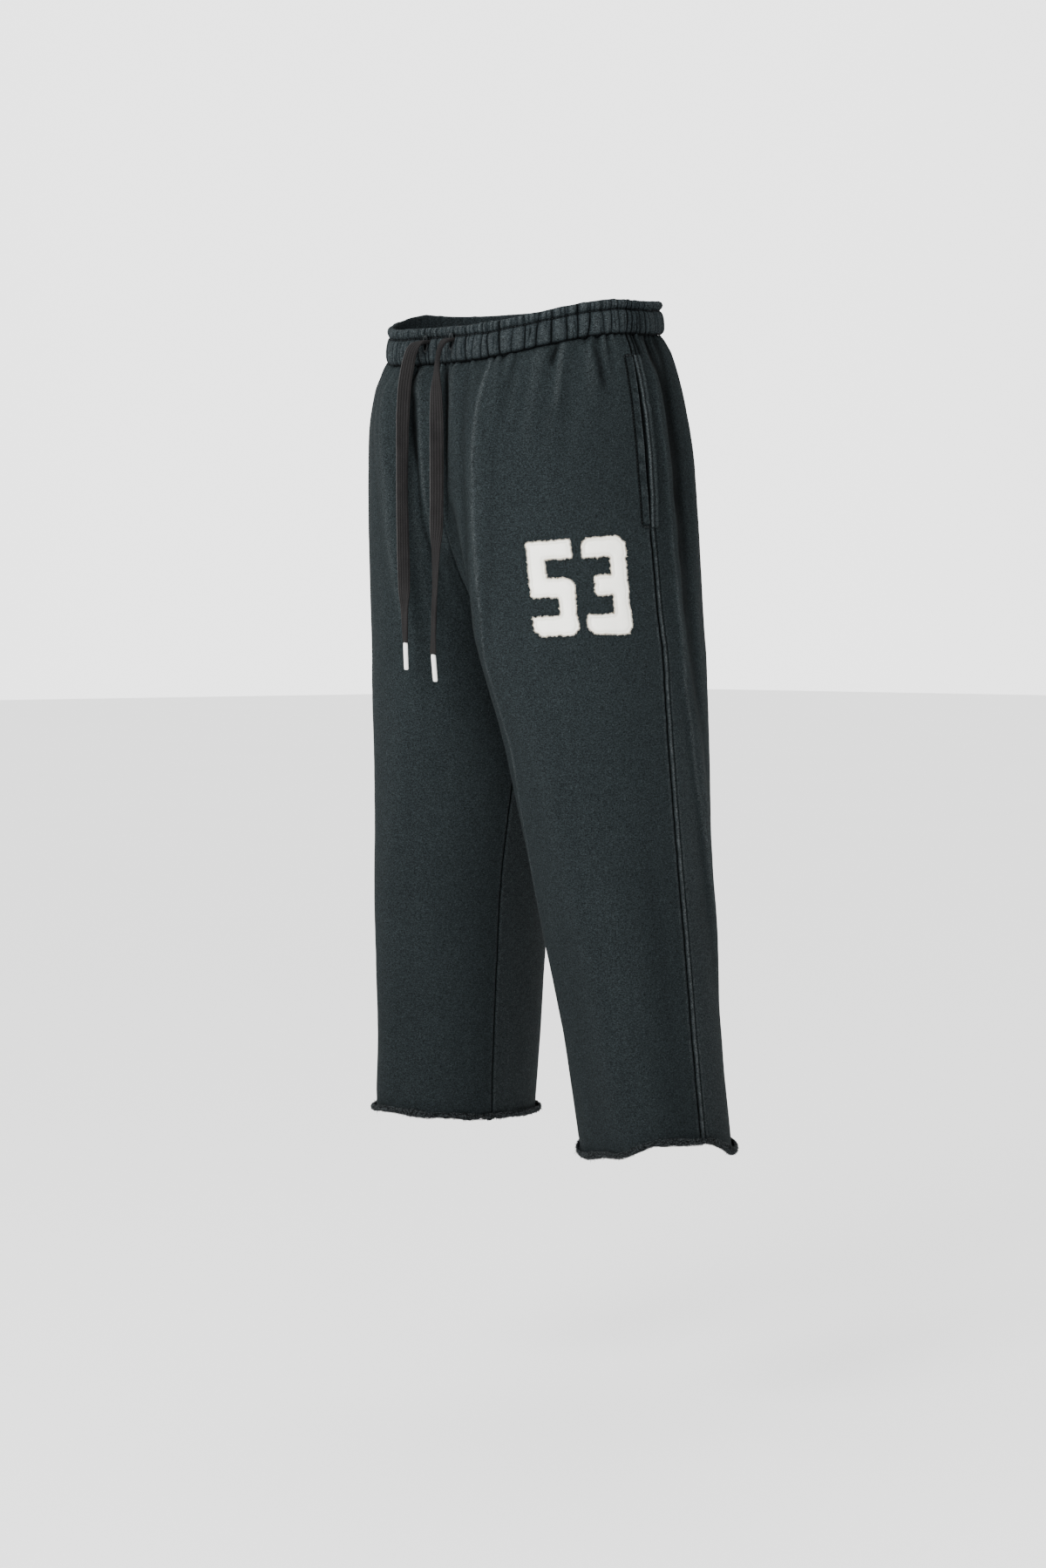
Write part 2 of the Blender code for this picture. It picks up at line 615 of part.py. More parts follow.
# How wide a moulded tip is at places along its length, both as shares.
TIP_LEVELS = (
    TipLevel(0, 0.80),
    TipLevel(0.04, 0.96),
    TipLevel(0.12, 1.0),
    TipLevel(0.88, 1.0),
    TipLevel(0.96, 0.94),
    TipLevel(1, 0.78),
)
TIP_SIDES = 12
TIP_ROUNDING = 0.5  # 1 is an oval outline, and a smaller power a squarer one


def cord_points(leg):
    """Evenly spaced points of a smooth line through a route, with the facing at each."""
    route = np.array(CORD_ROUTES[leg], float)
    route[:, :3] *= MM
    chord = np.concatenate([[0], np.cumsum(np.linalg.norm(np.diff(route[:, :3], axis=0), axis=1))])
    fine = through_rows(chord, route, np.linspace(0, chord[-1], FINE_POINTS))
    arc = np.concatenate([[0], np.cumsum(np.linalg.norm(np.diff(fine[:, :3], axis=0), axis=1))])
    count = int(round(arc[-1] / CORD_STEP)) + 1
    at = np.linspace(0, arc[-1], count)
    return np.stack([np.interp(at, arc, fine[:, k]) for k in range(4)], -1)


def add_cord(leg, finish):
    line = cord_points(leg)
    data = bpy.data.curves.new(f"drawcord_{leg}", "CURVE")
    data.dimensions = "3D"
    data.twist_mode = "MINIMUM"
    data.extrude = (CORD_WIDTH - CORD_THICKNESS) / 2
    data.bevel_depth = CORD_THICKNESS / 2
    data.bevel_resolution = 2
    data.use_fill_caps = True
    data.render_resolution_u = 0
    spline = data.splines.new("POLY")
    spline.points.add(len(line) - 1)
    for point, (x, y, z, facing) in zip(spline.points, line):
        point.co = (x, y, z, 1)
        point.tilt = math.radians(CORD_TURN[leg] - facing)
    data.materials.append(finish)
    obj = bpy.data.objects.new(f"drawcord_{leg}", data)
    bpy.context.scene.collection.objects.link(obj)
    return obj


def add_tip(leg, finish):
    """Moulded tip hanging from the end of a cord end, a flat block with rounded ends and edges."""
    line = cord_points(leg)
    end = line[-1, :3]
    facing = math.radians(line[-1, 3])
    ahead = np.array([math.sin(facing), -math.cos(facing), 0])
    across = np.array([math.cos(facing), math.sin(facing), 0])
    angle = np.arange(TIP_SIDES) * 2 * math.pi / TIP_SIDES
    round_x = np.sign(np.cos(angle)) * np.abs(np.cos(angle)) ** TIP_ROUNDING
    round_y = np.sign(np.sin(angle)) * np.abs(np.sin(angle)) ** TIP_ROUNDING
    rings = []
    for level in TIP_LEVELS:
        centre = end - np.array([0, 0, TIP_GAP + TIP_LENGTH * level.down])
        wide = across * TIP_WIDTH / 2 * level.scale
        deep = ahead * TIP_THICKNESS / 2 * level.scale
        rings.append(centre + round_x[:, None] * wide + round_y[:, None] * deep)
    points = np.concatenate(rings)
    last = TIP_SIDES * (len(TIP_LEVELS) - 1)
    faces = [list(range(TIP_SIDES))[::-1], list(range(last, last + TIP_SIDES))]
    for low in range(0, last, TIP_SIDES):
        high = low + TIP_SIDES
        for j in range(TIP_SIDES):
            k = (j + 1) % TIP_SIDES
            faces.append((low + j, low + k, high + k, high + j))
    return add_mesh(f"cord_tip_{leg}", points, faces, finish)


# ---- the whole garment
fresh_scene()
FLEECE = material("washed_black_fleece", (0.028, 0.036, 0.040), 0.95)
TAPE = material("brown_black_tape", (0.022, 0.019, 0.017), 0.9)
FELT = material("offwhite_felt", (0.85, 0.84, 0.80), 0.95)
RUBBER = material("white_rubber", (0.82, 0.82, 0.80), 0.45)
add_panels(FLEECE)
add_waistband(FLEECE)
for side in LEGS:
    add_facing(side, FLEECE)
    add_cord(side, TAPE)
    add_tip(side, RUBBER)
WIDTH = NUMERAL_COLUMNS * NUMERAL_CELL
add_numeral("numeral_5", -NUMERAL_SPACE / 2 - WIDTH, FELT)
add_numeral("numeral_3", NUMERAL_SPACE / 2, FELT)
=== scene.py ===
"""Looks of the long sweat shorts: thin cloth shells on the solids' own form, gathered waistband, seams,
stitches, rolled raw hems, woven drawcord and felt numerals. Metres, in the frame of the solids.
"""

import math
from collections import namedtuple

import bpy
import numpy as np
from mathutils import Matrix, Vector, geometry


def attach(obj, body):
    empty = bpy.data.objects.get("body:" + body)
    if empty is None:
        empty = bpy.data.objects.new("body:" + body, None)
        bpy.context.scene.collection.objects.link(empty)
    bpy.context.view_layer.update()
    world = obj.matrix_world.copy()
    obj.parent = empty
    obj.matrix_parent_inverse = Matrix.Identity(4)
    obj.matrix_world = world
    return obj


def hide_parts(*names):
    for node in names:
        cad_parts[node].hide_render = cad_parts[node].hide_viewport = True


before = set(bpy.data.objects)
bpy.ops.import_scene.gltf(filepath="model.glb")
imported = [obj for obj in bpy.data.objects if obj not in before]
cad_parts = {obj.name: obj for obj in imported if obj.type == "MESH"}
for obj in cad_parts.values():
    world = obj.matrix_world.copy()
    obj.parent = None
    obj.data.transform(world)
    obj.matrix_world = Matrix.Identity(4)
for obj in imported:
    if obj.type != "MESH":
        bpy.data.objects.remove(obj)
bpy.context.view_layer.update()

MM = 0.001

# ---------------------------------------------------------------- camera
CAMERA_AZIMUTH = 48.0
CAMERA_DISTANCE = 3.47
CAMERA_HEIGHT = -0.274
CAMERA_TILT = 2.507  # degrees below the horizon
CAMERA_LENS = 82.05  # on a 36 mm long side


def around(azimuth, distance=1.0, height=0.0):
    """A place at an azimuth in degrees, from straight in front of the wearer towards their left."""
    a = math.radians(azimuth)
    return math.sin(a) * distance, -math.cos(a) * distance, height


def add_camera():
    data = bpy.data.cameras.new("photo_camera")
    data.lens = CAMERA_LENS
    data.sensor_width = 36
    data.clip_start = 0.05
    data.clip_end = 100
    camera = bpy.data.objects.new("photo_camera", data)
    camera.location = around(CAMERA_AZIMUTH, CAMERA_DISTANCE, CAMERA_HEIGHT)
    camera.rotation_euler = (math.radians(90 - CAMERA_TILT), 0, math.radians(CAMERA_AZIMUTH))
    bpy.context.scene.collection.objects.link(camera)
    bpy.context.scene.camera = camera


add_camera()

# ---------------------------------------------------------------- sizes shared with the solids
SIDE_LENGTH = 764 * MM
CROTCH_DEPTH = 298 * MM
CLOTH = 2.0 * MM
SEAM_GAP = 0.3 * MM
BAND_HEIGHT = 33 * MM
BAND_HEIGHT_BACK = 32 * MM
BAND_GATHERS = 90
BAND_CLEAR = 0.4 * MM
WAIST_POINTS = 121
POCKET_TOP = 19 * MM
POCKET_LENGTH = 162 * MM
POCKET_FOOT = POCKET_TOP + POCKET_LENGTH
FACING_WIDTH = 14 * MM
FACING_THICKNESS = 1.2 * MM
FACING_END = 0.55
FACING_CUT = 0.12
LYING_GAP = 0.45 * MM
WAIST_DIP_POWER = 1.8
NORMAL_STEP_U = 0.0005
NORMAL_STEP_DROP = 1.0 * MM
HEM_EASE = 110 * MM
HEM_PLACES = 8
CORD_WIDTH = 14.0 * MM
CORD_THICKNESS = 2.4 * MM
TIP_LENGTH = 26 * MM
TIP_WIDTH = 9.0 * MM
TIP_THICKNESS = 4.2 * MM
TIP_GAP = 0.35 * MM
NUMERAL_CELL = 5.2 * MM
NUMERAL_CELL_HEIGHT = 6.05 * MM
NUMERAL_WIDTH = 8 * NUMERAL_CELL
NUMERAL_HEIGHT = 15 * NUMERAL_CELL_HEIGHT
NUMERAL_THICKNESS = 1.5 * MM
NUMERAL_SPACE = 9 * MM
NUMERAL_FROM_SEAM = 78 * MM
NUMERAL_CENTRE_DROP = 233 * MM

# ---------------------------------------------------------------- the form, in millimetres
# One row for each section of a half. "drop" is the depth below the waist seam at the side. The widest
# point is (side_x, side_y). The front and back creases are at (front_x, front_y) and (back_x, back_y).
# The section ends on the rise, and below the crotch on the inseam, at inner_x and the end_y values,
# where it has sunk to end_drop. round_leg goes from 0 on the flat seat to 1 on a round leg.
Section = namedtuple(
    "Section",
    "drop side_x side_y front_x front_y front_end_y front_end_drop "
    "back_x back_y back_end_y back_end_drop inner_x round_leg",
)
SEAT = (
    (0, 145, -2, 26, -107, -104, 25, 20, 113, 113, -11, 0, 0),
    (9, 149, -1, 31, -112, -107, 33, 24, 119, 119, -1, 0, 0),
    (30, 155, 0, 42, -118, -111, 53, 34, 126, 125, 21, 0, 0),
    (70, 161, 2, 50, -121, -113, 90, 42, 135, 134, 62, 0, 0),
    (120, 166, 4, 54, -119, -110, 136, 48, 143, 141, 114, 0, 0),
    (170, 170, 6, 58, -115, -100, 182, 54, 143, 136, 168, 0, 0.1),
    (215, 173, 9, 60, -111, -82, 223, 60, 142, 124, 217, 0, 0.3),
    (250, 175, 11, 62, -108, -56, 256, 66, 141, 103, 256, 0, 0.6),
    (275, 177, 13, 64, -105, -28, 281, 72, 139, 69, 284, 0.4, 0.85),
    (298, 179, 15, 68, -102, 8, 302, 78, 137, 8, 302, 1.5, 1),
)
LEFT_LEG = (
    (340, 181, 17, 80, -91, 2, 340, 89, 132, 2, 340, 4, 1),
    (400, 184, 20, 97, -73, -2, 400, 99, 127, -2, 400, 10, 1),
    (506, 192, 24, 114, -58, 2, 506, 113, 119, 2, 506, 33, 1),
    (606, 200, 28, 133, -42, 9, 606, 123, 115, 9, 606, 50, 1),
    (690, 207, 31, 145, -30, 14, 690, 133, 116, 14, 690, 62, 1),
    (764, 213, 34, 155, -20, 18, 764, 142, 121, 18, 764, 74, 1),
)
RIGHT_LEG = (
    (340, 181, 17, 74, -99, 2, 340, 88, 131, 2, 340, 4, 1),
    (400, 185, 20, 90, -88, -2, 400, 98, 126, -2, 400, 9, 1),
    (506, 193, 24, 110, -75, 2, 506, 112, 119, 2, 506, 32, 1),
    (606, 201, 28, 126, -60, 9, 606, 121, 121, 9, 606, 48, 1),
    (690, 207, 31, 138, -50, 14, 690, 130, 123, 14, 690, 59, 1),
    (764, 214, 34, 148, -46, 18, 764, 139, 123, 18, 764, 66, 1),
)

# Where the creases lie across a panel: the drop, and the place on a scale from the side seam (0) to the
# rise or inseam (1).
CREASES = ((0, 0.86), (40, 0.79), (100, 0.73), (200, 0.67), (298, 0.60), (400, 0.55), (764, 0.52))

# How much lower the raw hem hangs at eight places round each leg: at the side seam, outer front, front,
# inner front, inseam, inner back, back and outer back.
HEMS = {"left": (-6, -8, 8, 15, 8, 1, 5, 12), "right": (-6, -4, -8, -6, -3, -1, 0, -3)}

# Folds by panel. Each runs straight on its panel from (u0, drop0) to (u1, drop1), where u is 0 at the
# side seam and 1 at the rise or inseam. A ridge has a positive height and a trough a negative one.
# "fade" is the share of its length over which it dies away, at the top and at the foot.
Fold = namedtuple("Fold", "panel u0 drop0 u1 drop1 width height fade_top fade_foot")
LARGE_FOLDS = {
    "front_left": (
        (0.68, 5, 0.67, 330, 26, 3.4, 0.1, 0.4),
        (0.95, 110, 0.80, 300, 22, -3.0, 0.3, 0.3),
        (0.30, 0, 0.34, 150, 16, -1.6, 0.05, 0.7),
        (0.44, 0, 0.47, 120, 14, 1.6, 0.05, 0.7),
        (0.34, 380, 0.31, 900, 58, 8.5, 0.45, 0.1),
    ),
    "front_right": (
        (0.69, 5, 0.67, 320, 26, 3.0, 0.1, 0.4),
        (0.94, 110, 0.81, 290, 22, -2.6, 0.3, 0.3),
        (0.32, 0, 0.36, 170, 16, -1.6, 0.05, 0.7),
        (0.45, 420, 0.42, 764, 34, 2.6, 0.5, 0.1),
    ),
    "back_left": (
        (0.11, 10, 0.09, 380, 16, 3.4, 0.1, 0.3),
        (0.10, 260, 0.28, 660, 17, 3.0, 0.3, 0.3),
        (0.18, 20, 0.18, 400, 14, -2.8, 0.1, 0.3),
        (0.32, 5, 0.27, 250, 17, 3.0, 0.05, 0.5),
        (0.44, 0, 0.48, 210, 16, -2.4, 0.05, 0.6),
        (0.62, 200, 0.60, 470, 24, 3.0, 0.4, 0.4),
        (0.70, 400, 0.72, 900, 48, 8.5, 0.45, 0.1),
    ),
    "back_right": (
        (0.12, 10, 0.22, 560, 17, 2.8, 0.1, 0.35),
        (0.19, 20, 0.28, 500, 15, -2.4, 0.1, 0.4),
        (0.33, 5, 0.38, 230, 16, 2.4, 0.05, 0.5),
        (0.47, 0, 0.50, 200, 16, -2.4, 0.05, 0.6),
        (0.60, 210, 0.62, 480, 24, 2.6, 0.4, 0.4),
    ),
}
# Smaller folds than the solids have.
SMALL_FOLDS = {
    "front_left": (
        (0.12, 0, 0.10, 60, 9, -1.2, 0.05, 0.7),
        (0.20, 0, 0.23, 90, 12, 1.1, 0.05, 0.7),
        (0.55, 0, 0.56, 70, 10, -1.1, 0.05, 0.7),
        (0.62, 0, 0.60, 110, 12, 1.0, 0.05, 0.7),
        (0.78, 0, 0.76, 140, 13, -1.5, 0.05, 0.7),
        (0.88, 0, 0.86, 90, 11, 1.3, 0.05, 0.7),
        (0.74, 60, 0.82, 420, 16, -1.2, 0.3, 0.4),
        (0.90, 260, 0.74, 380, 22, -0.8, 0.4, 0.5),
        (0.52, 300, 0.50, 764, 24, 1.2, 0.4, 0.2),
        (0.10, 420, 0.16, 764, 26, -1.2, 0.4, 0.1),
        (0.78, 470, 0.72, 764, 20, 1.0, 0.4, 0.2),
    ),
    "front_right": (
        (0.15, 0, 0.13, 70, 10, -1.2, 0.05, 0.7),
        (0.24, 0, 0.27, 100, 12, 1.1, 0.05, 0.7),
        (0.52, 0, 0.54, 80, 10, -1.1, 0.05, 0.7),
        (0.60, 0, 0.62, 130, 13, 1.4, 0.05, 0.6),
        (0.82, 0, 0.80, 120, 12, -1.4, 0.05, 0.7),
        (0.56, 300, 0.52, 764, 26, 1.3, 0.4, 0.2),
        (0.18, 380, 0.22, 764, 28, -1.2, 0.4, 0.1),
    ),
    "back_left": (
        (0.25, 0, 0.23, 120, 12, 1.4, 0.05, 0.7),
        (0.39, 0, 0.40, 130, 12, 1.3, 0.05, 0.7),
        (0.55, 0, 0.56, 150, 13, 1.4, 0.05, 0.7),
        (0.70, 0, 0.68, 120, 12, -1.3, 0.05, 0.7),
        (0.84, 0, 0.84, 100, 12, 1.1, 0.05, 0.7),
        (0.93, 190, 0.62, 320, 18, -2.0, 0.4, 0.5),
        (0.95, 240, 0.70, 400, 18, 1.8, 0.4, 0.5),
        (0.36, 330, 0.40, 764, 26, 1.6, 0.4, 0.2),
        (0.55, 430, 0.52, 764, 24, -1.4, 0.4, 0.2),
    ),
    "back_right": (
        (0.26, 0, 0.24, 130, 12, 1.3, 0.05, 0.7),
        (0.40, 0, 0.42, 120, 12, 1.2, 0.05, 0.7),
        (0.57, 0, 0.56, 140, 13, 1.4, 0.05, 0.7),
        (0.72, 0, 0.70, 130, 12, -1.4, 0.05, 0.7),
        (0.86, 0, 0.85, 90, 12, 1.1, 0.05, 0.7),
        (0.93, 190, 0.64, 330, 18, -1.9, 0.4, 0.5),
        (0.95, 240, 0.70, 410, 18, 1.7, 0.4, 0.5),
        (0.34, 360, 0.38, 764, 26, 1.6, 0.4, 0.2),
        (0.62, 420, 0.58, 764, 26, -1.6, 0.4, 0.2),
    ),
}
# Sharper fold lines by panel: places are (u, drop) from top to foot, height and width are in
# millimetres, and the last number is how much paler or darker the cloth is along the line: paler is worn
# cloth and painted highlight on a crest, darker is painted shade in a trough.
Crest = namedtuple("Crest", "panel places height width wear")
SHARP_FOLDS = {
    "front_left": (
        (((0.654, 2), (0.664, 20), (0.672, 50), (0.679, 111), (0.664, 193), (0.635, 253), (0.64, 320),
          (0.665, 381), (0.73, 480), (0.79, 582), (0.80, 740)), 1.1, 3.6, 0.30),
        (((0.712, 4), (0.73, 60), (0.735, 130), (0.72, 200), (0.70, 260)), -0.8, 14, -0.12),
        (((0.334, 1), (0.338, 30), (0.345, 75)), 1.5, 6, 0.26),
        (((0.36, 1), (0.375, 12), (0.38, 24)), -1.6, 5, -0.6),
        (((0.205, 1), (0.165, 25), (0.135, 62)), -1.9, 5.5, -0.55),
        (((0.50, 1), (0.523, 40), (0.53, 80)), 0.9, 8, 0.02),
        # dark trough beside the cord: painted shade, also standing for the cord's shadow
        (((0.955, 2), (0.924, 29), (0.907, 73), (0.918, 110), (0.96, 150), (0.985, 185)),
         -2.4, 6.5, -1.0),
    ),
    "front_right": (
        # dark troughs beside the cord: painted shade, also standing for the cord's shadow
        (((0.823, 2), (0.868, 37), (0.878, 72), (0.880, 115)), -3.2, 8.5, -1.0),
        (((0.878, 60), (0.876, 115), (0.868, 157), (0.875, 250)), -1.2, 3.5, -0.5),
        (((0.874, 6), (0.905, 37), (0.912, 72), (0.910, 115), (0.90, 161), (0.90, 240)), 1.5, 5, 0.22),
        # painted shadow of the left leg over the inside of the right leg; it has no relief
        (((0.97, 190), (0.95, 260), (0.93, 330), (0.90, 430)), 0.0, 42, -0.42),
        (((0.20, 2), (0.17, 40), (0.15, 90), (0.145, 150)), 1.4, 6, 0.18),
        (((0.40, 2), (0.42, 50), (0.43, 110)), 1.3, 7, 0.14),
        (((0.66, 2), (0.67, 60), (0.68, 140), (0.66, 230), (0.66, 330)), 0.8, 7, 0.04),
    ),
    "back_left": (
        (((0.09, 8), (0.088, 110), (0.085, 209), (0.088, 323), (0.13, 420), (0.19, 503), (0.255, 590),
          (0.30, 700)), 1.1, 4.2, 0.30),
        (((0.15, 3), (0.148, 110), (0.142, 209), (0.14, 323), (0.18, 430)), -3.6, 15, -0.42),
        (((0.05, 1), (0.05, 12), (0.055, 26)), -1.6, 4.5, -0.8),
        (((0.14, 1), (0.13, 14), (0.125, 34)), -1.8, 5, -0.8),
        (((0.22, 2), (0.205, 90), (0.19, 180), (0.185, 260)), -1.6, 12, -0.34),
        (((0.29, 4), (0.27, 70), (0.26, 150), (0.245, 230), (0.24, 320)), 1.2, 6, 0.10),
        (((0.58, 2), (0.56, 70), (0.57, 150)), 1.4, 7, 0.18),
        (((0.97, 150), (0.90, 210), (0.80, 260), (0.72, 300)), -2.2, 11, -0.25),
        (((0.98, 230), (0.90, 290), (0.80, 350)), 1.8, 9, 0.16),
    ),
    "back_right": (
        (((0.10, 8), (0.10, 120), (0.11, 240), (0.15, 380), (0.22, 520)), 1.4, 5.5, 0.26),
        (((0.16, 3), (0.16, 110), (0.17, 230), (0.20, 350)), -2.8, 12, -0.3),
        (((0.30, 4), (0.30, 80), (0.31, 170), (0.30, 280)), 1.4, 6, 0.22),
        (((0.56, 2), (0.55, 80), (0.56, 160)), 1.4, 7, 0.18),
        (((0.97, 155), (0.90, 215), (0.81, 270), (0.73, 310)), -2.2, 11, -0.25),
        (((0.98, 240), (0.90, 300), (0.80, 360)), 1.8, 9, 0.16),
    ),
}


def as_rows(kind, table):
    """The rows of a table by panel as one list."""
    return [kind(panel, *row) for panel, rows in table.items() for row in rows]


FOLDS = as_rows(Fold, LARGE_FOLDS)
FINE_FOLDS = as_rows(Fold, SMALL_FOLDS)
CRESTS = as_rows(Crest, SHARP_FOLDS)

# Points of each hanging end of the drawcord, in millimetres, from its buttonhole down, and the way that
# the flat of the tape looks there, in degrees from straight ahead towards the wearer's left.
CORD_ROUTES = {
    "left": (
        (21, -111.5, -3, 0), (20, -119, -6, -8), (18, -123, -16, -22), (16.5, -124, -32, -24),
        (17, -125, -55, 0), (18, -125.5, -90, 26), (18, -125.5, -140, 34), (17.5, -125.5, -176, 24),
        (16.5, -125.5, -203, -24), (15, -125.5, -245, -40), (13, -125, -278, -42),
        (11.5, -124.5, -299, -34),
    ),
    "right": (
        (-17, -109.9, -3, 0), (-18.5, -119, -6, 8), (-21.5, -123.5, -14, 16), (-25, -125, -28, 24),
        (-27.5, -127, -50, 32), (-28.5, -128.5, -90, 42), (-29, -128.5, -140, 46),
        (-28.5, -128, -190, 42), (-28, -127, -235, 24), (-28, -126, -256, -22), (-28, -125.5, -288, -36),
    ),
}


# ---------------------------------------------------------------- functions of the form
def monotone_slopes(knots, values):
    """Slopes at the rows of a table that keep a cubic from overshooting them."""
    grade = np.diff(values, axis=0) / np.diff(knots)[:, None]
    before, after = grade[:-1], grade[1:]
    product = before * after
    total = np.where(product > 0, before + after, 1)
    return np.concatenate([grade[:1], np.where(product > 0, 2 * product / total, 0), grade[-1:]])


def through_rows(knots, values, at):
    """Cubic curve through the rows of a table, read at any place."""
    slope = monotone_slopes(knots, values)
    at = np.clip(at, knots[0], knots[-1])
    row = np.clip(np.searchsorted(knots, at, side="right") - 1, 0, len(knots) - 2)
    span = knots[row + 1] - knots[row]
    t = ((at - knots[row]) / span)[..., None]
    span = span[..., None]
    first = values[row] * (1 + 2 * t) * (1 - t) ** 2 + slope[row] * span * t * (1 - t) ** 2
    second = values[row + 1] * t**2 * (3 - 2 * t) - slope[row + 1] * span * t**2 * (1 - t)
    return first + second


def in_metres(rows):
    table = np.array(rows, float)
    table[:, :-1] *= MM
    return table


LEGS = {"left": in_metres(SEAT + LEFT_LEG), "right": in_metres(SEAT + RIGHT_LEG)}
CREASE_TABLE = in_metres(CREASES)
SIDE_SIGN = {"left": 1.0, "right": -1.0}


def section_at(leg, drop):
    table = LEGS[leg]
    columns = through_rows(table[:, 0], table, np.asarray(drop, float))
    return Section(*np.moveaxis(columns, -1, 0))


def half_of(section, half):
    """(crease x, crease y, end y, end drop) of the front or the back of a section."""
    if half == "front":
        return section.front_x, section.front_y, section.front_end_y, section.front_end_drop
    # Below the crotch the front and the back end on one inseam.
    on_leg = section.drop >= CROTCH_DEPTH
    end_y = np.where(on_leg, section.front_end_y, section.back_end_y)
    end_drop = np.where(on_leg, section.front_end_drop, section.back_end_drop)
    return section.back_x, section.back_y, end_y, end_drop


def crease_u(drop):
    return through_rows(CREASE_TABLE[:, 0], CREASE_TABLE, np.asarray(drop, float))[..., 1]


def row_length(leg, half, drop):
    """Length that a row would have at the spacing it has from the side seam to the crease."""
    s = section_at(leg, drop)
    crease_x, crease_y, _, _ = half_of(s, half)
    a, b = s.side_x - crease_x, crease_y - s.side_y
    return 0.5 * math.pi * np.sqrt((a * a + b * b) / 2) / crease_u(drop)


def u_at(leg, half, drop, distance):
    """The u that lies a distance from the side seam, short of the crease."""
    return distance / row_length(leg, half, drop)


def eased(x):
    """From 0 to 1 as x goes from 0 to 1, along a cosine."""
    return 0.5 - 0.5 * np.cos(math.pi * np.clip(x, 0, 1))


def smooth(x):
    """From 0 to 1 as x goes from 0 to 1, along a cubic."""
    x = np.clip(x, 0, 1)
    return x * x * (3 - 2 * x)


def plain_surface(leg, half, u, drop):
    """Point on the form without folds: u runs from the side seam (0) to the rise or inseam (1)."""
    u, drop = np.broadcast_arrays(np.asarray(u, float), np.asarray(drop, float))
    s = section_at(leg, drop)
    crease_x, crease_y, end_y, end_drop = half_of(s, half)
    share = crease_u(drop)
    t = np.clip(u / share, 0, 1) * math.pi / 2
    x_out = crease_x + (s.side_x - crease_x) * np.cos(t)
    y_out = s.side_y + (crease_y - s.side_y) * np.sin(t)
    k = np.clip((u - share) / (1 - share), 0, 1)
    a = k * math.pi / 2
    flat = 1 - s.round_leg
    x_in = crease_x - (crease_x - s.inner_x) * (s.round_leg * np.sin(a) + flat * k)
    y_in = crease_y + (end_y - crease_y) * (s.round_leg * (1 - np.cos(a)) + flat * eased(k))
    outside = u < share
    x = np.where(outside, x_out, x_in)
    y = np.where(outside, y_out, y_in)
    power = WAIST_DIP_POWER if (leg, half) != ("right", "front") else 1
    seat_tilt = np.where(outside, np.sin(t), 1) ** power
    tilt = flat * seat_tilt + s.round_leg * np.sin(u * math.pi / 2)
    z = -(drop + (end_drop - drop) * tilt)
    return np.stack([SIDE_SIGN[leg] * x, y, z], -1)


def unit(v):
    return v / np.maximum(np.linalg.norm(v, axis=-1, keepdims=True), 1e-12)


def outward(leg, half, u, drop):
    """Unit normal of the plain form, pointing away from the wearer."""

    def change(du, dd):
        ends = [(np.clip(u + s * du, 0, 1), np.clip(drop + s * dd, 0, SIDE_LENGTH)) for s in (1, -1)]
        return plain_surface(leg, half, *ends[0]) - plain_surface(leg, half, *ends[1])

    n = unit(np.cross(change(0, NORMAL_STEP_DROP), change(NORMAL_STEP_U, 0)))
    return -n * SIDE_SIGN[leg] * (1 if half == "front" else -1)


def rows_on(table, leg, half):
    """The rows of a table that lie on a panel, each with its number in the table."""
    return [(number, row) for number, row in enumerate(table) if row.panel == f"{half}_{leg}"]


def folds_height(table, leg, half, u, drop, fade, sway=0.0):
    """Height of a table's folds, with how they die away and how far they wander to each side."""
    total = np.zeros(np.broadcast(u, drop).shape)
    length = row_length(leg, half, drop)
    for number, fold in rows_on(table, leg, half):
        inside = np.clip((drop - fold.drop0 * MM) / ((fold.drop1 - fold.drop0) * MM), 0, 1)
        centre = fold.u0 + (fold.u1 - fold.u0) * inside
        wander = wavy(drop, 55, number) * sway
        across = ((u - centre) * length - wander) / (fold.width * MM)
        ends = fade(inside / fold.fade_top) * fade((1 - inside) / fold.fade_foot)
        total = total + fold.height * MM * eased(1 - np.abs(across)) * ends
    return total


def fold_height(leg, half, u, drop):
    """Height of the folds that the solids have too."""
    return folds_height(FOLDS, leg, half, u, drop, eased)


def hem_wave(leg, half, u, drop):
    """How much lower the uneven raw hem hangs here."""
    stations = np.array(HEMS[leg] + HEMS[leg][:1], float) * MM
    across = HEM_PLACES // 2 * u
    turn = across if half == "front" else HEM_PLACES - across
    place = np.clip(turn.astype(int), 0, HEM_PLACES - 1)
    part = eased(turn - place)
    near = np.clip(1 - (SIDE_LENGTH - drop) / HEM_EASE, 0, 1) ** 2
    return (stations[place] * (1 - part) + stations[place + 1] * part) * near


def cloth_surface(leg, half, u, drop):
    """Point on the outside of a panel and the unit normal there."""
    n = outward(leg, half, u, drop)
    p = plain_surface(leg, half, u, drop) + n * fold_height(leg, half, u, drop)[..., None]
    p[..., 2] -= hem_wave(leg, half, u, drop)
    return p, n


# ---------------------------------------------------------------- noise that repeats on each run
# The last number that goes into each of these is a seed, which only tells one pattern from another.
def hashed(i, seed):
    """A number from -1 to 1 for each i."""
    v = np.sin(i * 127.1 + seed * 311.7) * 43758.5453
    return 2 * (v - np.floor(v)) - 1


def noise1(x, seed):
    """Soft noise in -1..1 along a line, with bumps of about length 1."""
    i = np.floor(x)
    f = x - i
    f = f * f * (3 - 2 * f)
    return hashed(i, seed) * (1 - f) + hashed(i + 1, seed) * f


def wavy(x, size, seed):
    """Noise along a length, with bumps of about the given size in millimetres."""
    return noise1(x / (size * MM), seed)


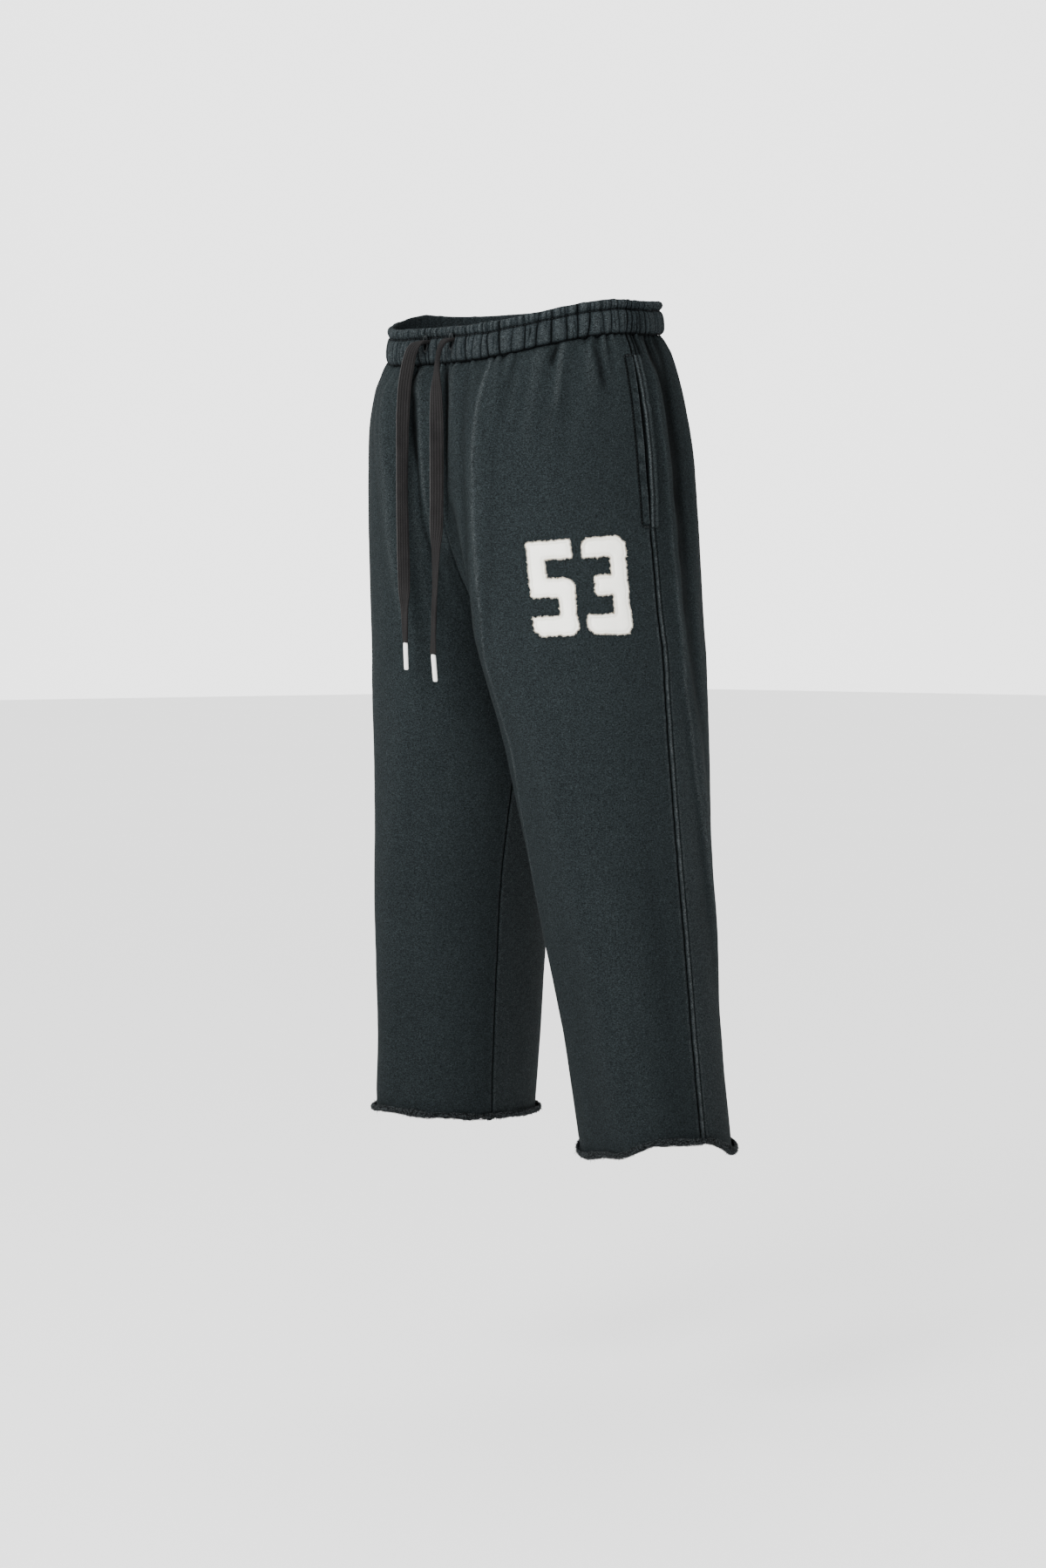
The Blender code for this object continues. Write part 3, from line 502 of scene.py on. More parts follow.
def noise3(p, size, seed):
    """Soft noise in -1..1 over points, with bumps of about the given size."""
    q = p / size
    i = np.floor(q)
    f = q - i
    f = f * f * (3 - 2 * f)
    total = np.zeros(q.shape[:-1])
    for corner in range(8):
        step = np.array([corner & 1, corner >> 1 & 1, corner >> 2])
        weight = np.prod(np.where(step, f, 1 - f), axis=-1)
        place = i + step
        total += weight * hashed(place[..., 0] + 57.31 * place[..., 1] + 113.73 * place[..., 2], seed)
    return total


def bump_at(distance, centre, width):
    """Rounded ridge of height 1 at a distance from an edge."""
    return smooth(1 - np.abs(distance - centre) / width)


def arc_along(points, axis=0):
    """Length from the first point to each one, along an axis of the array."""
    steps = np.linalg.norm(np.diff(points, axis=axis), axis=-1)
    start = np.zeros_like(np.take(steps, [0], axis=axis))
    return np.concatenate([start, np.cumsum(steps, axis=axis)], axis=axis)


def read_rows(at, knots, rows):
    """Each column of rows, read between its knots."""
    return np.stack([np.interp(at, knots, rows[:, k]) for k in range(rows.shape[1])], -1)


def eased_loop(points, rounds):
    """A closed line of points, smoothed a number of times."""
    for _ in range(rounds):
        points = (np.roll(points, 1, axis=0) + 2 * points + np.roll(points, -1, axis=0)) / 4
    return points


# ---------------------------------------------------------------- mesh helpers
def mesh_object(name, points, faces, materials, values=None, which=None, stands_for=None):
    """A piece of the visual model: values holds its attributes, and which holds each face's material."""
    mesh = bpy.data.meshes.new(name)
    mesh.from_pydata(np.asarray(points, float).tolist(), [], faces)
    for one in materials:
        mesh.materials.append(one)
    if which is not None:
        mesh.polygons.foreach_set("material_index", np.asarray(which, np.int32))
    mesh.polygons.foreach_set("use_smooth", np.full(len(mesh.polygons), True))
    for key, numbers in (values or {}).items():
        layer = mesh.attributes.new(key, "FLOAT", "POINT")
        layer.data.foreach_set("value", np.asarray(numbers, np.float32).ravel())
    mesh.update()
    piece = bpy.data.objects.new(name, mesh)
    bpy.context.scene.collection.objects.link(piece)
    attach(piece, "root")
    if stands_for:
        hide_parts(stands_for)
    return piece


def grid_faces(rows, columns, start=0, flip=False, wrap=False):
    i, j = np.meshgrid(np.arange(rows - 1), np.arange(columns if wrap else columns - 1), indexing="ij")
    k = (j + 1) % columns
    corners = [i * columns + j, i * columns + k, (i + 1) * columns + k, (i + 1) * columns + j]
    quads = np.stack(corners, -1)
    quads = quads.reshape(-1, 4) + start
    return quads[:, ::-1] if flip else quads


def tube_faces(rings, sides):
    """Faces of a closed tube through rings of points, with flat ends."""
    ends = [list(range(sides))[::-1], list(range((rings - 1) * sides, rings * sides))]
    return grid_faces(rings, sides, wrap=True).tolist() + ends


def squarish_ring(sides, width, thickness, wide_power, deep_power):
    """Sideways and outward places round a ring between an oval and a rectangle."""
    turn = np.arange(sides) * 2 * math.pi / sides
    wide = np.sign(np.cos(turn)) * np.abs(np.cos(turn)) ** wide_power * width / 2
    deep = np.sign(np.sin(turn)) * np.abs(np.sin(turn)) ** deep_power * thickness / 2
    return wide, deep


def shell(name, outer, inner, flip, values, stands_for):
    """Closed shell of fleece between two grids of points, with the back of the cloth inside."""
    rows, columns = outer.shape[:2]
    count = rows * columns
    points = np.concatenate([outer.reshape(-1, 3), inner.reshape(-1, 3)])
    front = grid_faces(rows, columns)
    back = grid_faces(rows, columns, count, flip=True)
    index = np.arange(count).reshape(rows, columns)
    rim = np.concatenate([index[0, ::-1], index[1:, 0], index[-1, 1:], index[-2:0:-1, -1]])
    ahead = np.roll(rim, -1)
    edge = np.stack([rim, ahead, ahead + count, rim + count], -1)
    faces = np.concatenate([front, back, edge])
    if flip:
        faces = faces[:, ::-1]
    which = np.concatenate([np.zeros(len(front)), np.ones(len(back) + len(edge))])
    both = {key: np.concatenate([v.ravel(), v.ravel()]) for key, v in values.items()}
    finishes = [FLEECE, FLEECE_BACK]
    return mesh_object(name, points, faces.tolist(), finishes, both, which, stands_for)


# Rings of a fibre: how far along it, how far its bend has taken it there, and its thickness.
FIBRE_RINGS = ((0, 0, 1), (0.55, 0.2, 0.8), (0.85, 0.6, 0))


def fibres(name, roots, ways, lengths, radius, bend, finish):
    """Fine bent hairs, three-sided and pointed, as one object."""
    ways = unit(ways)
    side = unit(np.cross(ways, bend + 1e-6))
    other = np.cross(ways, side)
    turn = np.arange(3) * 2 * math.pi / 3
    ring = side[:, None] * np.cos(turn)[None, :, None] + other[:, None] * np.sin(turn)[None, :, None]
    rows = []
    for along, bent, thick in FIBRE_RINGS:
        centre = (roots + ways * lengths[:, None] * along + bend * lengths[:, None] * bent)[:, None]
        rows.append(centre + ring * radius * thick if thick else centre)
    points = np.concatenate(rows, axis=1)
    pattern = [(0, 2, 1)] + [(k, (k + 1) % 3, (k + 1) % 3 + 3) for k in range(3)]
    pattern += [(k, (k + 1) % 3 + 3, k + 3) for k in range(3)]
    pattern += [(k + 3, (k + 1) % 3 + 3, 6) for k in range(3)]
    faces = np.arange(len(roots))[:, None, None] * 7 + np.array(pattern)[None]
    return mesh_object(name, points.reshape(-1, 3), faces.reshape(-1, 3).tolist(), [finish])


# Rings of a stitch: how far along it, how thick, and how far it stands out there, as shares.
STITCH_RINGS = ((0, 0.0, -0.6), (0.12, 0.75, 0.0), (0.5, 1.0, 0.55), (0.88, 0.75, 0.0), (1, 0.0, -0.6))


def stitches(name, runs, finish, pitch=3.0 * MM, radius=0.28 * MM, share=0.78):
    """Rows of thread stitches. Each run is (points, normals) along a sewn line."""
    ends = []
    for points, facing in runs:
        arc = arc_along(points)
        count = max(int(arc[-1] / pitch), 1)
        at = (np.arange(count) + 0.5) * arc[-1] / count
        half = arc[-1] / count * share / 2
        start, stop = (read_rows(at + shift, arc, points) for shift in (-half, half))
        ends.append((start, stop, unit(read_rows(at, arc, facing))))
    a, b, n = (np.concatenate(part) for part in zip(*ends))
    across = unit(np.cross(unit(b - a), n))
    rows = []
    for place, wide, lift in STITCH_RINGS:
        centre = a + (b - a) * place + n * (radius * lift)
        if wide == 0:
            rows.append(centre[:, None])
            continue
        for turn in range(4):
            angle = turn * math.pi / 2 + math.pi / 4
            way = across * math.cos(angle) + n * math.sin(angle)
            rows.append((centre + way * radius * wide)[:, None])
    points = np.concatenate(rows, axis=1)
    pattern = [(0, 1 + k, 1 + (k + 1) % 4) for k in range(4)]
    for low in (1, 5):
        for k in range(4):
            m = (k + 1) % 4
            pattern += [(low + k, low + 4 + k, low + 4 + m), (low + k, low + 4 + m, low + m)]
    pattern += [(13, 9 + (k + 1) % 4, 9 + k) for k in range(4)]
    faces = np.arange(len(a))[:, None, None] * 14 + np.array(pattern)[None]
    return mesh_object(name, points.reshape(-1, 3), faces.reshape(-1, 3).tolist(), [finish])


# ---------------------------------------------------------------- materials
class Nodes:
    """A node tree, built up in calls."""

    def __init__(self, tree, place="Object"):
        self.tree = tree
        self.place = tree.nodes.new("ShaderNodeTexCoord").outputs[place]

    def add(self, kind, settings=None, **values):
        """A node. A key such as i0 is a socket's number, and any other key is its name."""
        made = self.tree.nodes.new(kind)
        for key, value in (settings or {}).items():
            setattr(made, key, value)
        for key, value in values.items():
            numbered = key[0] == "i" and key[1:].isdigit()
            socket = made.inputs[int(key[1:]) if numbered else key]
            if isinstance(value, bpy.types.NodeSocket):
                self.tree.links.new(value, socket)
            else:
                socket.default_value = value
        return made

    def noise(self, scale, detail=2.0, rough=0.55, where=None):
        made = self.add("ShaderNodeTexNoise", Scale=scale, Detail=detail, Roughness=rough)
        self.tree.links.new(where or self.place, made.inputs["Vector"])
        return made.outputs["Fac"]

    def math(self, operation, a, b=0.0):
        return self.add("ShaderNodeMath", {"operation": operation}, i0=a, i1=b).outputs[0]

    def product(self, first, *others):
        for other in others:
            first = self.math("MULTIPLY", first, other)
        return first

    def total(self, first, *others):
        for other in others:
            first = self.math("ADD", first, other)
        return first

    def wave(self, value, length):
        return self.math("SINE", self.product(value, 2 * math.pi / length))

    def value(self, name):
        return self.add("ShaderNodeAttribute", {"attribute_name": name}).outputs["Fac"]

    def ranged(self, value, low, high, to_low, to_high):
        made = self.add("ShaderNodeMapRange", Value=value)
        limits = {"From Min": low, "From Max": high, "To Min": to_low, "To Max": to_high}
        for key, number in limits.items():
            made.inputs[key].default_value = number
        return made.outputs["Result"]

    def vary(self, scale, low, high, detail=2.0, rough=0.55, spread=(0.3, 0.7), where=None):
        """Noise that runs from low to high."""
        return self.ranged(self.noise(scale, detail, rough, where), *spread, low, high)

    def mix(self, share, first, second):
        made = self.add("ShaderNodeMix", {"data_type": "RGBA"}, i0=share)
        made.inputs[6].default_value = (*first, 1)
        made.inputs[7].default_value = (*second, 1)
        return made.outputs[2]

    def scaled(self, colour, factor):
        """A colour times a number."""
        made = self.add("ShaderNodeVectorMath", {"operation": "SCALE"}, i0=colour)
        self.tree.links.new(factor, made.inputs["Scale"])
        return made.outputs[0]


class Finish(Nodes):
    """A material and its nodes."""

    def __init__(self, name, roughness, sheen, sheen_tint, specular):
        self.material = bpy.data.materials.new(name)
        self.material.use_nodes = True
        super().__init__(self.material.node_tree)
        self.shader = self.tree.nodes["Principled BSDF"]
        self.set("Roughness", roughness)
        self.set("Sheen Weight", sheen)
        self.set("Sheen Roughness", 0.45)
        self.set("Sheen Tint", (*sheen_tint, 1))
        self.set("Specular IOR Level", specular)

    def set(self, socket, value):
        self.shader.inputs[socket].default_value = value

    def finish(self, colour, height, strength, distance):
        self.tree.links.new(colour, self.shader.inputs["Base Color"])
        bump = self.add("ShaderNodeBump", Height=height, Strength=strength, Distance=distance)
        self.tree.links.new(bump.outputs["Normal"], self.shader.inputs["Normal"])
        return self.material


WALE = 1.15 * MM  # from one rib of the knit to the next
COURSE = 0.95 * MM  # and from one row to the next
PEBBLE_SQUASH = 1.7  # how much flatter than wide the grain of the cloth is
# painted shade: the legs darken towards their foot
FOOT_SHADE = (-0.78, -0.30, 0.70, 1.0)  # the cloth darkens from the second height down to the first


def fleece_material(name, base, worn_and_highlight, grain=0.40, roughness=0.95, sheen=0.006, fluff=0.0):
    """Washed cloth: mottled, heathered grain, paler where the attribute holds worn cloth and painted
    highlight, and darker where it holds painted shade.
    """
    n = Finish(name, roughness, sheen, (0.80, 0.90, 0.92), 0.03)
    squashed = n.add("ShaderNodeMapping", Vector=n.place)
    squashed.inputs["Scale"].default_value = (1, 1, PEBBLE_SQUASH)
    squashed = squashed.outputs["Vector"]
    pebble = n.noise(460, 2.5, 0.62, squashed)
    wear = n.value("wear")
    tone = n.product(
        n.vary(9, 0.95, 1.05),
        n.vary(120, 0.97, 1.03, 3, 0.6),
        n.ranged(pebble, 0.3, 0.7, 1 - grain, 1 + grain),
        n.vary(1000, 0.2, 1.84, 2, 0.6, where=squashed),
        n.vary(1100, 1.0, 1.45, 1, 0.5, (0.60, 0.78)),
        # painted shade: darker down the legs
        n.ranged(n.add("ShaderNodeSeparateXYZ", Vector=n.place).outputs["Z"], *FOOT_SHADE),
        # painted shade: the colour darkens where the attribute is below zero
        n.ranged(n.math("MAXIMUM", n.product(wear, -1.0), 0.0), 0, 1, 1.0, 0.14),
    )
    # paler towards the worn colour where the attribute is above zero: worn cloth and painted highlight
    rub_and_highlight = n.product(n.vary(260, 0.45, 1.5, 3, 0.7), n.math("MAXIMUM", wear, 0.0))
    colour = n.scaled(n.mix(n.math("MINIMUM", rub_and_highlight, 1.0), base, worn_and_highlight), tone)
    wale = n.wave(n.value("across"), WALE)
    knit = n.product(n.total(wale, n.product(wale, n.wave(n.value("down"), COURSE))), 0.16 * (1 - fluff))
    coarse = n.noise(480 if fluff else 900, 3, 0.7)
    if fluff:
        bead = n.add("ShaderNodeTexVoronoi", Scale=430.0, Vector=n.place).outputs["Distance"]
        colour = n.scaled(colour, n.ranged(bead, 0.12, 0.62, 1.9, 0.34))
        coarse = n.math("SUBTRACT", coarse, n.product(bead, 1.6))
    return n.finish(colour, n.total(coarse, knit, n.product(pebble, 1.3)), 0.8, (0.6 + 0.4 * fluff) * MM)


TAPE_RIB = 2.7 * MM
TAPE_CHEVRON = 1.25 * MM
# The tape's pale edge: it fades out between these two places across it, from 2.6 times as pale.
SELVEDGE = (-6.9 * MM, -5.6 * MM, 2.6, 1.0)


def tape_material():
    """Flat braided cord: fine chevrons in ribs along its length."""
    n = Finish("brown_black_tape_weave", 0.95, 0.004, (0.9, 0.85, 0.8), 0.03)
    across = n.value("across")
    rib = n.product(across, 1 / TAPE_RIB)
    zig = n.math("PINGPONG", rib, 0.5)
    phase = n.total(n.product(n.value("down"), 1 / TAPE_CHEVRON), n.product(zig, 1.6))
    valley = n.math("ABSOLUTE", n.math("SINE", n.product(rib, math.pi)))
    height = n.total(n.product(n.wave(phase, 1), 0.35), n.math("POWER", valley, 0.5))
    tone = n.product(
        # painted shade and highlight: the weave's hollows darker and its ridges paler
        n.ranged(height, -0.1, 1.2, 0.12, 1.5),
        n.vary(1400, 0.7, 1.3, 2, 0.7, (0.25, 0.75)),
        n.vary(60, 0.9, 1.12),
        n.ranged(across, *SELVEDGE),
    )
    colour = n.mix(n.noise(35, 2), (0.0132, 0.0126, 0.0126), (0.0108, 0.0105, 0.0108))
    return n.finish(n.scaled(colour, tone), height, 0.8, 0.3 * MM)


def felt_material():
    """Matted felt, tan and darker where its attribute says so: at the frayed rim, which also stands for
    painted shade at the cut edge, and with painted shade in the sewn groove.
    """
    n = Finish("offwhite_felt_matted", 0.95, 0.15, (1, 1, 1), 0.2)
    wear = n.value("wear")
    tone = n.product(
        n.vary(60, 0.975, 1.02, 3),
        n.vary(1300, 0.95, 1.04, 3, 0.7, (0.25, 0.75)),
        n.ranged(wear, 0, 1, 1.0, 0.66),
    )
    colour = n.mix(n.math("MINIMUM", wear, 1.0), (0.97, 0.965, 0.885), (0.60, 0.53, 0.40))
    height = n.total(n.noise(1100, 3, 0.7), n.product(n.noise(260, 2), 0.9))
    return n.finish(n.scaled(colour, tone), height, 0.5, 0.28 * MM)


def rubber_material():
    n = Finish("white_rubber_moulded", 0.42, 0.0, (1, 1, 1), 0.5)
    n.set("Coat Weight", 0.15)
    n.set("Coat Roughness", 0.3)
    tone = n.product(n.vary(130, 0.97, 1.03, 3), n.vary(700, 1.0, 0.9, 3, 0.7, (0.55, 0.8)))
    colour = n.mix(n.noise(90, 2), (0.80, 0.80, 0.78), (0.76, 0.755, 0.73))
    return n.finish(n.scaled(colour, tone), n.noise(900, 2), 0.12, 0.1 * MM)


def thread_material(name, first, second, size=240):
    """Twisted thread in two shades that change over a given scale."""
    n = Finish(name, 0.7, 0.02, (1, 1, 1), 0.12)
    colour = n.mix(n.vary(size, 0, 1, spread=(0.35, 0.65)), first, second)
    twist = n.noise(2600, 1)
    return n.finish(n.scaled(colour, n.ranged(twist, 0.3, 0.7, 0.8, 1.2)), twist, 0.5, 0.1 * MM)


# the paler colour of worn cloth, which also carries the painted highlights
WORN_AND_HIGHLIGHT_COLOUR = (0.040, 0.046, 0.048)
FLEECE = fleece_material("washed_black_fleece_face", (0.0112, 0.0147, 0.0158), WORN_AND_HIGHLIGHT_COLOUR)
FLEECE_BACK = fleece_material(
    "washed_black_fleece_brushed_back", (0.0125, 0.0150, 0.0160), (0.034, 0.038, 0.040),
    0.75, 1.0, 0.015, 1.0
)
BAND_FLEECE = fleece_material("washed_black_fleece_band", (0.0120, 0.0156, 0.0172), WORN_AND_HIGHLIGHT_COLOUR)
FRAY = thread_material("washed_black_loose_fibre", (0.0050, 0.0062, 0.0068), (0.046, 0.052, 0.054), 900)
THREAD = thread_material("washed_black_thread", (0.0062, 0.0080, 0.0090), (0.015, 0.0175, 0.0185))
TAPE = tape_material()
FELT = felt_material()
FELT_THREAD = thread_material("offwhite_thread", (0.80, 0.79, 0.75), (0.70, 0.68, 0.62))
FELT_FIBRE = thread_material("offwhite_loose_fibre", (0.80, 0.77, 0.70), (0.60, 0.54, 0.42))
RUBBER = rubber_material()

# ---------------------------------------------------------------- drawcord
CORD_SHIFT = {"left": 16, "right": 12}  # the tape's flat against its facing, in degrees
CORD_TUCK = 5 * MM  # how far each end starts inside its buttonhole
CORD_SIDES = 28
CORD_RING = 1.3 * MM
CORD_FINE = 1200  # points on its line, to measure along
# Distance from the buttonhole in millimetres, and the share of its width that a cord lies open to there.
CORD_OPEN = {
    "left": (
        (0, 0.62), (8, 0.52), (16, 0.34), (28, 0.34), (44, 0.76), (56, 0.93), (110, 0.96), (170, 0.92),
        (330, 0.85),
    ),
    "right": (
        (0, 0.50), (7, 0.66), (14, 0.84), (30, 0.93), (80, 0.90), (140, 0.80), (210, 0.86), (330, 0.78),
    ),
}


def cord_line(leg):
    """Points and facing of a cord end at each of its rings, and how far along it they are."""
    route = np.array(CORD_ROUTES[leg], float)
    route[:, :3] *= MM
    inside = route[0].copy()
    inside[1] += CORD_TUCK
    route = np.concatenate([inside[None], route])
    chord = arc_along(route[:, :3])
    fine = through_rows(chord, route, np.linspace(0, chord[-1], CORD_FINE))
    arc = arc_along(fine[:, :3])
    at = np.linspace(0, arc[-1], int(arc[-1] / CORD_RING) + 1)
    return read_rows(at, arc, fine), at


def add_cord(leg):
    """The tape of a hanging end, with its line and how far along that its rings are."""
    line, at = cord_line(leg)
    points = line[:, :3]
    along = unit(np.gradient(points, axis=0))
    angle = np.radians(line[:, 3] + CORD_SHIFT[leg])
    flat = np.stack([np.cos(angle), np.sin(angle), 0 * angle], -1)
    flat = unit(flat - along * np.sum(flat * along, -1, keepdims=True))
    ahead = np.cross(flat, along)
    wide, deep = squarish_ring(CORD_SIDES, CORD_WIDTH, CORD_THICKNESS, 0.62, 0.45)
    opened = np.interp((at - CORD_TUCK) / MM, *np.array(CORD_OPEN[leg]).T)
    edge = opened * (1 + 0.018 * wavy(at, 7, 3))
    cup = 0.45 * MM * wavy(at, 34, 5) + 0.25 * MM
    hollow = cup[:, None] * (1 - (wide / (CORD_WIDTH / 2))[None] ** 2 * 2)
    ring = (
        points[:, None]
        + flat[:, None] * (wide[None] * edge[:, None])[..., None]
        + ahead[:, None] * ((deep[None] + hollow) * (2 - opened)[:, None])[..., None]
    )
    shape = (len(points), CORD_SIDES)
    faces = tube_faces(*shape)
    if np.dot(np.cross(flat[0], ahead[0]), along[0]) > 0:
        faces = [f[::-1] for f in faces]
    values = {"across": np.broadcast_to(wide[None], shape), "down": np.broadcast_to(at[:, None], shape)}
    name = f"drawcord_{leg}"
    points = ring.reshape(-1, 3)
    cord = mesh_object(f"{name}_tape", points, faces, [TAPE], values, stands_for=name)
    return cord, line, at


# Rings down a moulded tip: how far down it, and how wide it is there, as shares.
TIP_RINGS = (
    (0.0, 0.55), (0.003, 0.72), (0.015, 0.85), (0.035, 0.93), (0.07, 0.985), (0.13, 1.0), (0.5, 0.985),
    (0.84, 1.0), (0.90, 0.985), (0.945, 0.94), (0.975, 0.86), (0.993, 0.74), (1.0, 0.52),
)
# Degrees that each tip hangs off the upright, towards the wearer's left.
TIP_LEAN = {"left": 7.0, "right": 3.0}
TIP_SIDES = 40


def add_tip(leg, line):
    """Moulded tip at the end of a cord's line."""
    facing = math.radians(line[-1, 3])
    ahead = np.array([math.sin(facing), -math.cos(facing), 0])
    across = np.array([math.cos(facing), math.sin(facing), 0])
    wide, deep = squarish_ring(TIP_SIDES, TIP_WIDTH, TIP_THICKNESS, 0.5, 0.5)
    lean = math.radians(TIP_LEAN[leg])
    down = np.array([math.sin(lean), 0, -math.cos(lean)])
    top = line[-1, :3] - np.array([0, 0, TIP_GAP])
    section = wide[:, None] * across + deep[:, None] * ahead
    rings = [top + down * TIP_LENGTH * share + section * scale for share, scale in TIP_RINGS]
    faces = tube_faces(len(TIP_RINGS), TIP_SIDES)
    name = f"cord_tip_{leg}"
    return mesh_object(f"{name}_rubber", np.concatenate(rings), faces, [RUBBER], stands_for=name)


for side in ("left", "right"):
    cord, route, along_cord = add_cord(side)
    tip = add_tip(side, route)

# ---------------------------------------------------------------- cloth folds and seams
# How wide a crest's pale line and a trough's dark line of painted shade are, as shares of the fold's own
# width.
CREST_LINE_WIDTHS = (0.42, 0.6)


def crest_relief(leg, half, u, drop, length):
    """Height of the sharper fold lines, with a paler line on each crest (worn cloth and painted
    highlight) and painted shade in each trough.
    """
    total = np.zeros(u.shape)
    wear = np.zeros(u.shape)
    for number, crest in rows_on(CRESTS, leg, half):
        across, down = np.array(crest.places).T
        first, last = down[0] * MM, down[-1] * MM
        centre = np.interp(drop, down * MM, across)
        sway = wavy(drop, 40, 300 + number) * 1.2 * MM
        aside = ((u - centre) * length + sway) / (crest.width * MM)
        ends = smooth((drop - first) / (10 * MM) + 0.6) * smooth((last - drop) / (0.45 * (last - first)))
        strength = ends * (0.8 + 0.2 * wavy(drop, 25, 340 + number))
        total += crest.height * MM * np.exp(-np.abs(aside) ** 1.5 * 1.6) * strength
        wear += crest.wear * np.exp(-((aside / CREST_LINE_WIDTHS[crest.wear <= 0]) ** 2)) * strength
    return total, wear


def waist_line():
    """Closed line of the waist seam, from the left side round the front, with its arc length."""
    u = np.linspace(0, 1, WAIST_POINTS)
    back = u[::-1]
    runs = (("left", "front", u), ("right", "front", back), ("right", "back", u), ("left", "back", back))
    points = np.concatenate([plain_surface(leg, half, run, 0.0)[:-1] for leg, half, run in runs])
    points = np.concatenate([points, points[:1]])
    return points, arc_along(points)


WAIST, WAIST_ARC = waist_line()
# Share of the way round the waist, from the left side seam over the front, and gathers up to there.
GATHERS = np.array(
    ((0.0, 0.0), (0.03, 3.0), (0.15, 10.6), (0.22, 16.5), (0.35, 30.3), (0.9, 77.4), (1.0, 90.0))
).T
QUARTERS = {("left", "front"): 0, ("right", "front"): 1, ("right", "back"): 2, ("left", "back"): 3}


def gather_place(leg, half, u):
    """Where a place on a panel's top edge lies round the waist, counted in gathers."""
    quarter = QUARTERS[leg, half]
    at = (quarter + (1 - u if quarter in (1, 3) else u)) * (WAIST_POINTS - 1)
    share = np.interp(at, np.arange(len(WAIST_ARC)), WAIST_ARC) / WAIST_ARC[-1]
    return np.interp(share, *GATHERS)


def gather_share(place):
    """Share of the way round the waist at a number of gathers."""
    turns = np.floor(place / BAND_GATHERS)
    return turns + np.interp(place - turns * BAND_GATHERS, *GATHERS[::-1])


PUCKER_HEIGHT = 2.2 * MM
PUCKER_COARSE = 0.45 * MM  # of the wider ones among them
PUCKER_REACH = (7, 13)  # least reach down the panel in millimetres, and how much more some have


def pucker_height(leg, half, u, drop):
    """Small gathers that run out of the band into the top of a panel."""
    place = gather_place(leg, half, u)
    which = np.round(place)
    reach = (PUCKER_REACH[0] + PUCKER_REACH[1] * np.abs(hashed(which, 9)) ** 1.5) * MM
    tall = np.maximum(0.35 + 0.75 * hashed(which, 10), 0) * PUCKER_HEIGHT
    sway = 0.25 * noise1(drop / (14 * MM) + which * 3.1, 11)
    wave = np.cos(2 * math.pi * (place - which + sway * smooth(drop / (12 * MM)) * 0.4))
    coarse = np.cos(2 * math.pi * (place * 0.5 + 0.2 * noise1(place * 0.3, 14)))
    fine = tall * wave * np.exp(-((drop / reach) ** 1.3))
    return fine + PUCKER_COARSE * coarse * np.exp(-((drop / (30 * MM)) ** 1.5))


def cavity(height, reach=7):
    """How far each place stands above what lies round it across the cloth."""
    padded = np.pad(height, ((0, 0), (reach, reach)), mode="edge")
    kernel = np.hanning(2 * reach + 3)[1:-1]
    kernel = kernel / kernel.sum()
    return height - sum(w * padded[:, k : k + height.shape[1]] for k, w in enumerate(kernel))


def spaced(length, step_at):
    """Shares of a length in millimetres, with the step that step_at gives for each place."""
    places = [0.0]
    while places[-1] < length:
        places.append(places[-1] + step_at(places[-1]))
    return np.array(places) / places[-1]


PANEL_WIDTH = 255  # of its grid, in millimetres
SEWN_WIDTH = 13  # of the finest columns, by the side seam


def panel_step(place):
    """Close together at the inner edge, and closest over the pocket and its sewing at the side seam."""
    to_inner = max(0.75, (PANEL_WIDTH - place) * 0.07 + 0.6)
    return min(0.62 + max(place - SEWN_WIDTH, 0) * 0.09, 2.45, to_inner)


PANEL_U = spaced(PANEL_WIDTH, panel_step)
PANEL_DROPS = np.concatenate(
    [
        np.arange(0, 40, 1.3), np.arange(40, 110, 2.4), np.arange(110, 700, 3.3),
        np.arange(700, 756.0, 2.6),
    ]
) * MM
LAST_ROW = len(PANEL_DROPS)
CROTCH_ROW = int(np.searchsorted(PANEL_DROPS, CROTCH_DEPTH))
CURL_DROP = SIDE_LENGTH - 3.4 * MM  # where the raw edge starts to curl
CURL_TURNS = np.radians(np.array([8, 24, 42, 62, 84, 106, 130, 154, 178, 202, 226]))
CURL_ROW = 1.3 * MM
CURL_OVERLAP = 0.4 * MM  # of the rolled edges at a seam
CURL_WEAR = 0.12
CURL_RADIUS = 1.75  # millimetres inside the roll
CURL_TWIST = 0.75  # unevenness of the raw edge itself, in millimetres
# Soft unevenness of the cloth: height and size in millimetres, its stretch down the cloth, and a seed.
SWELLS = ((0.75, 52, 0.55, 21), (0.28, 19, 0.6, 22), (0.10, 7, 1, 23))
FOLD_SWAY = 2.2 * MM  # how far a fine fold wanders to each side
WORN_HEIGHT = 1.1 * MM  # above or below what lies round it, where cloth is fully worn or shaded
# ridges come out paler as worn cloth, hollows darker with painted shade
RIDGE_WEAR = 0.20
HOLLOW_SHADE = 0.34
CRIMP = 0.75 * MM  # of the sewn edge in front of the pocket mouth
SEAM_RIPPLE = 0.35 * MM
INNER_RIPPLE = 0.22 * MM
HEM_WEAR = 0.16
# painted shade: how much darker the cloth is
TOP_SHADE = 0.35  # right under the band

# Seams, in millimetres.
TOPSTITCH = 5.4  # behind the side seam
MOUTH_STITCH = 8.6  # in front of the pocket mouth
MOUTH_GAPE = 2.6  # how far the mouth stands open halfway down
HOLLOW = 3.6  # how deep it is there
GROOVE = 0.5  # from an edge of stitched cloth on to its line of stitches
ALLOWANCE = 3.6  # how far the seam allowance stands inside the cloth
MOUTH_SHIFT = 0.8 * MM  # how far the front edge of the mouth draws back
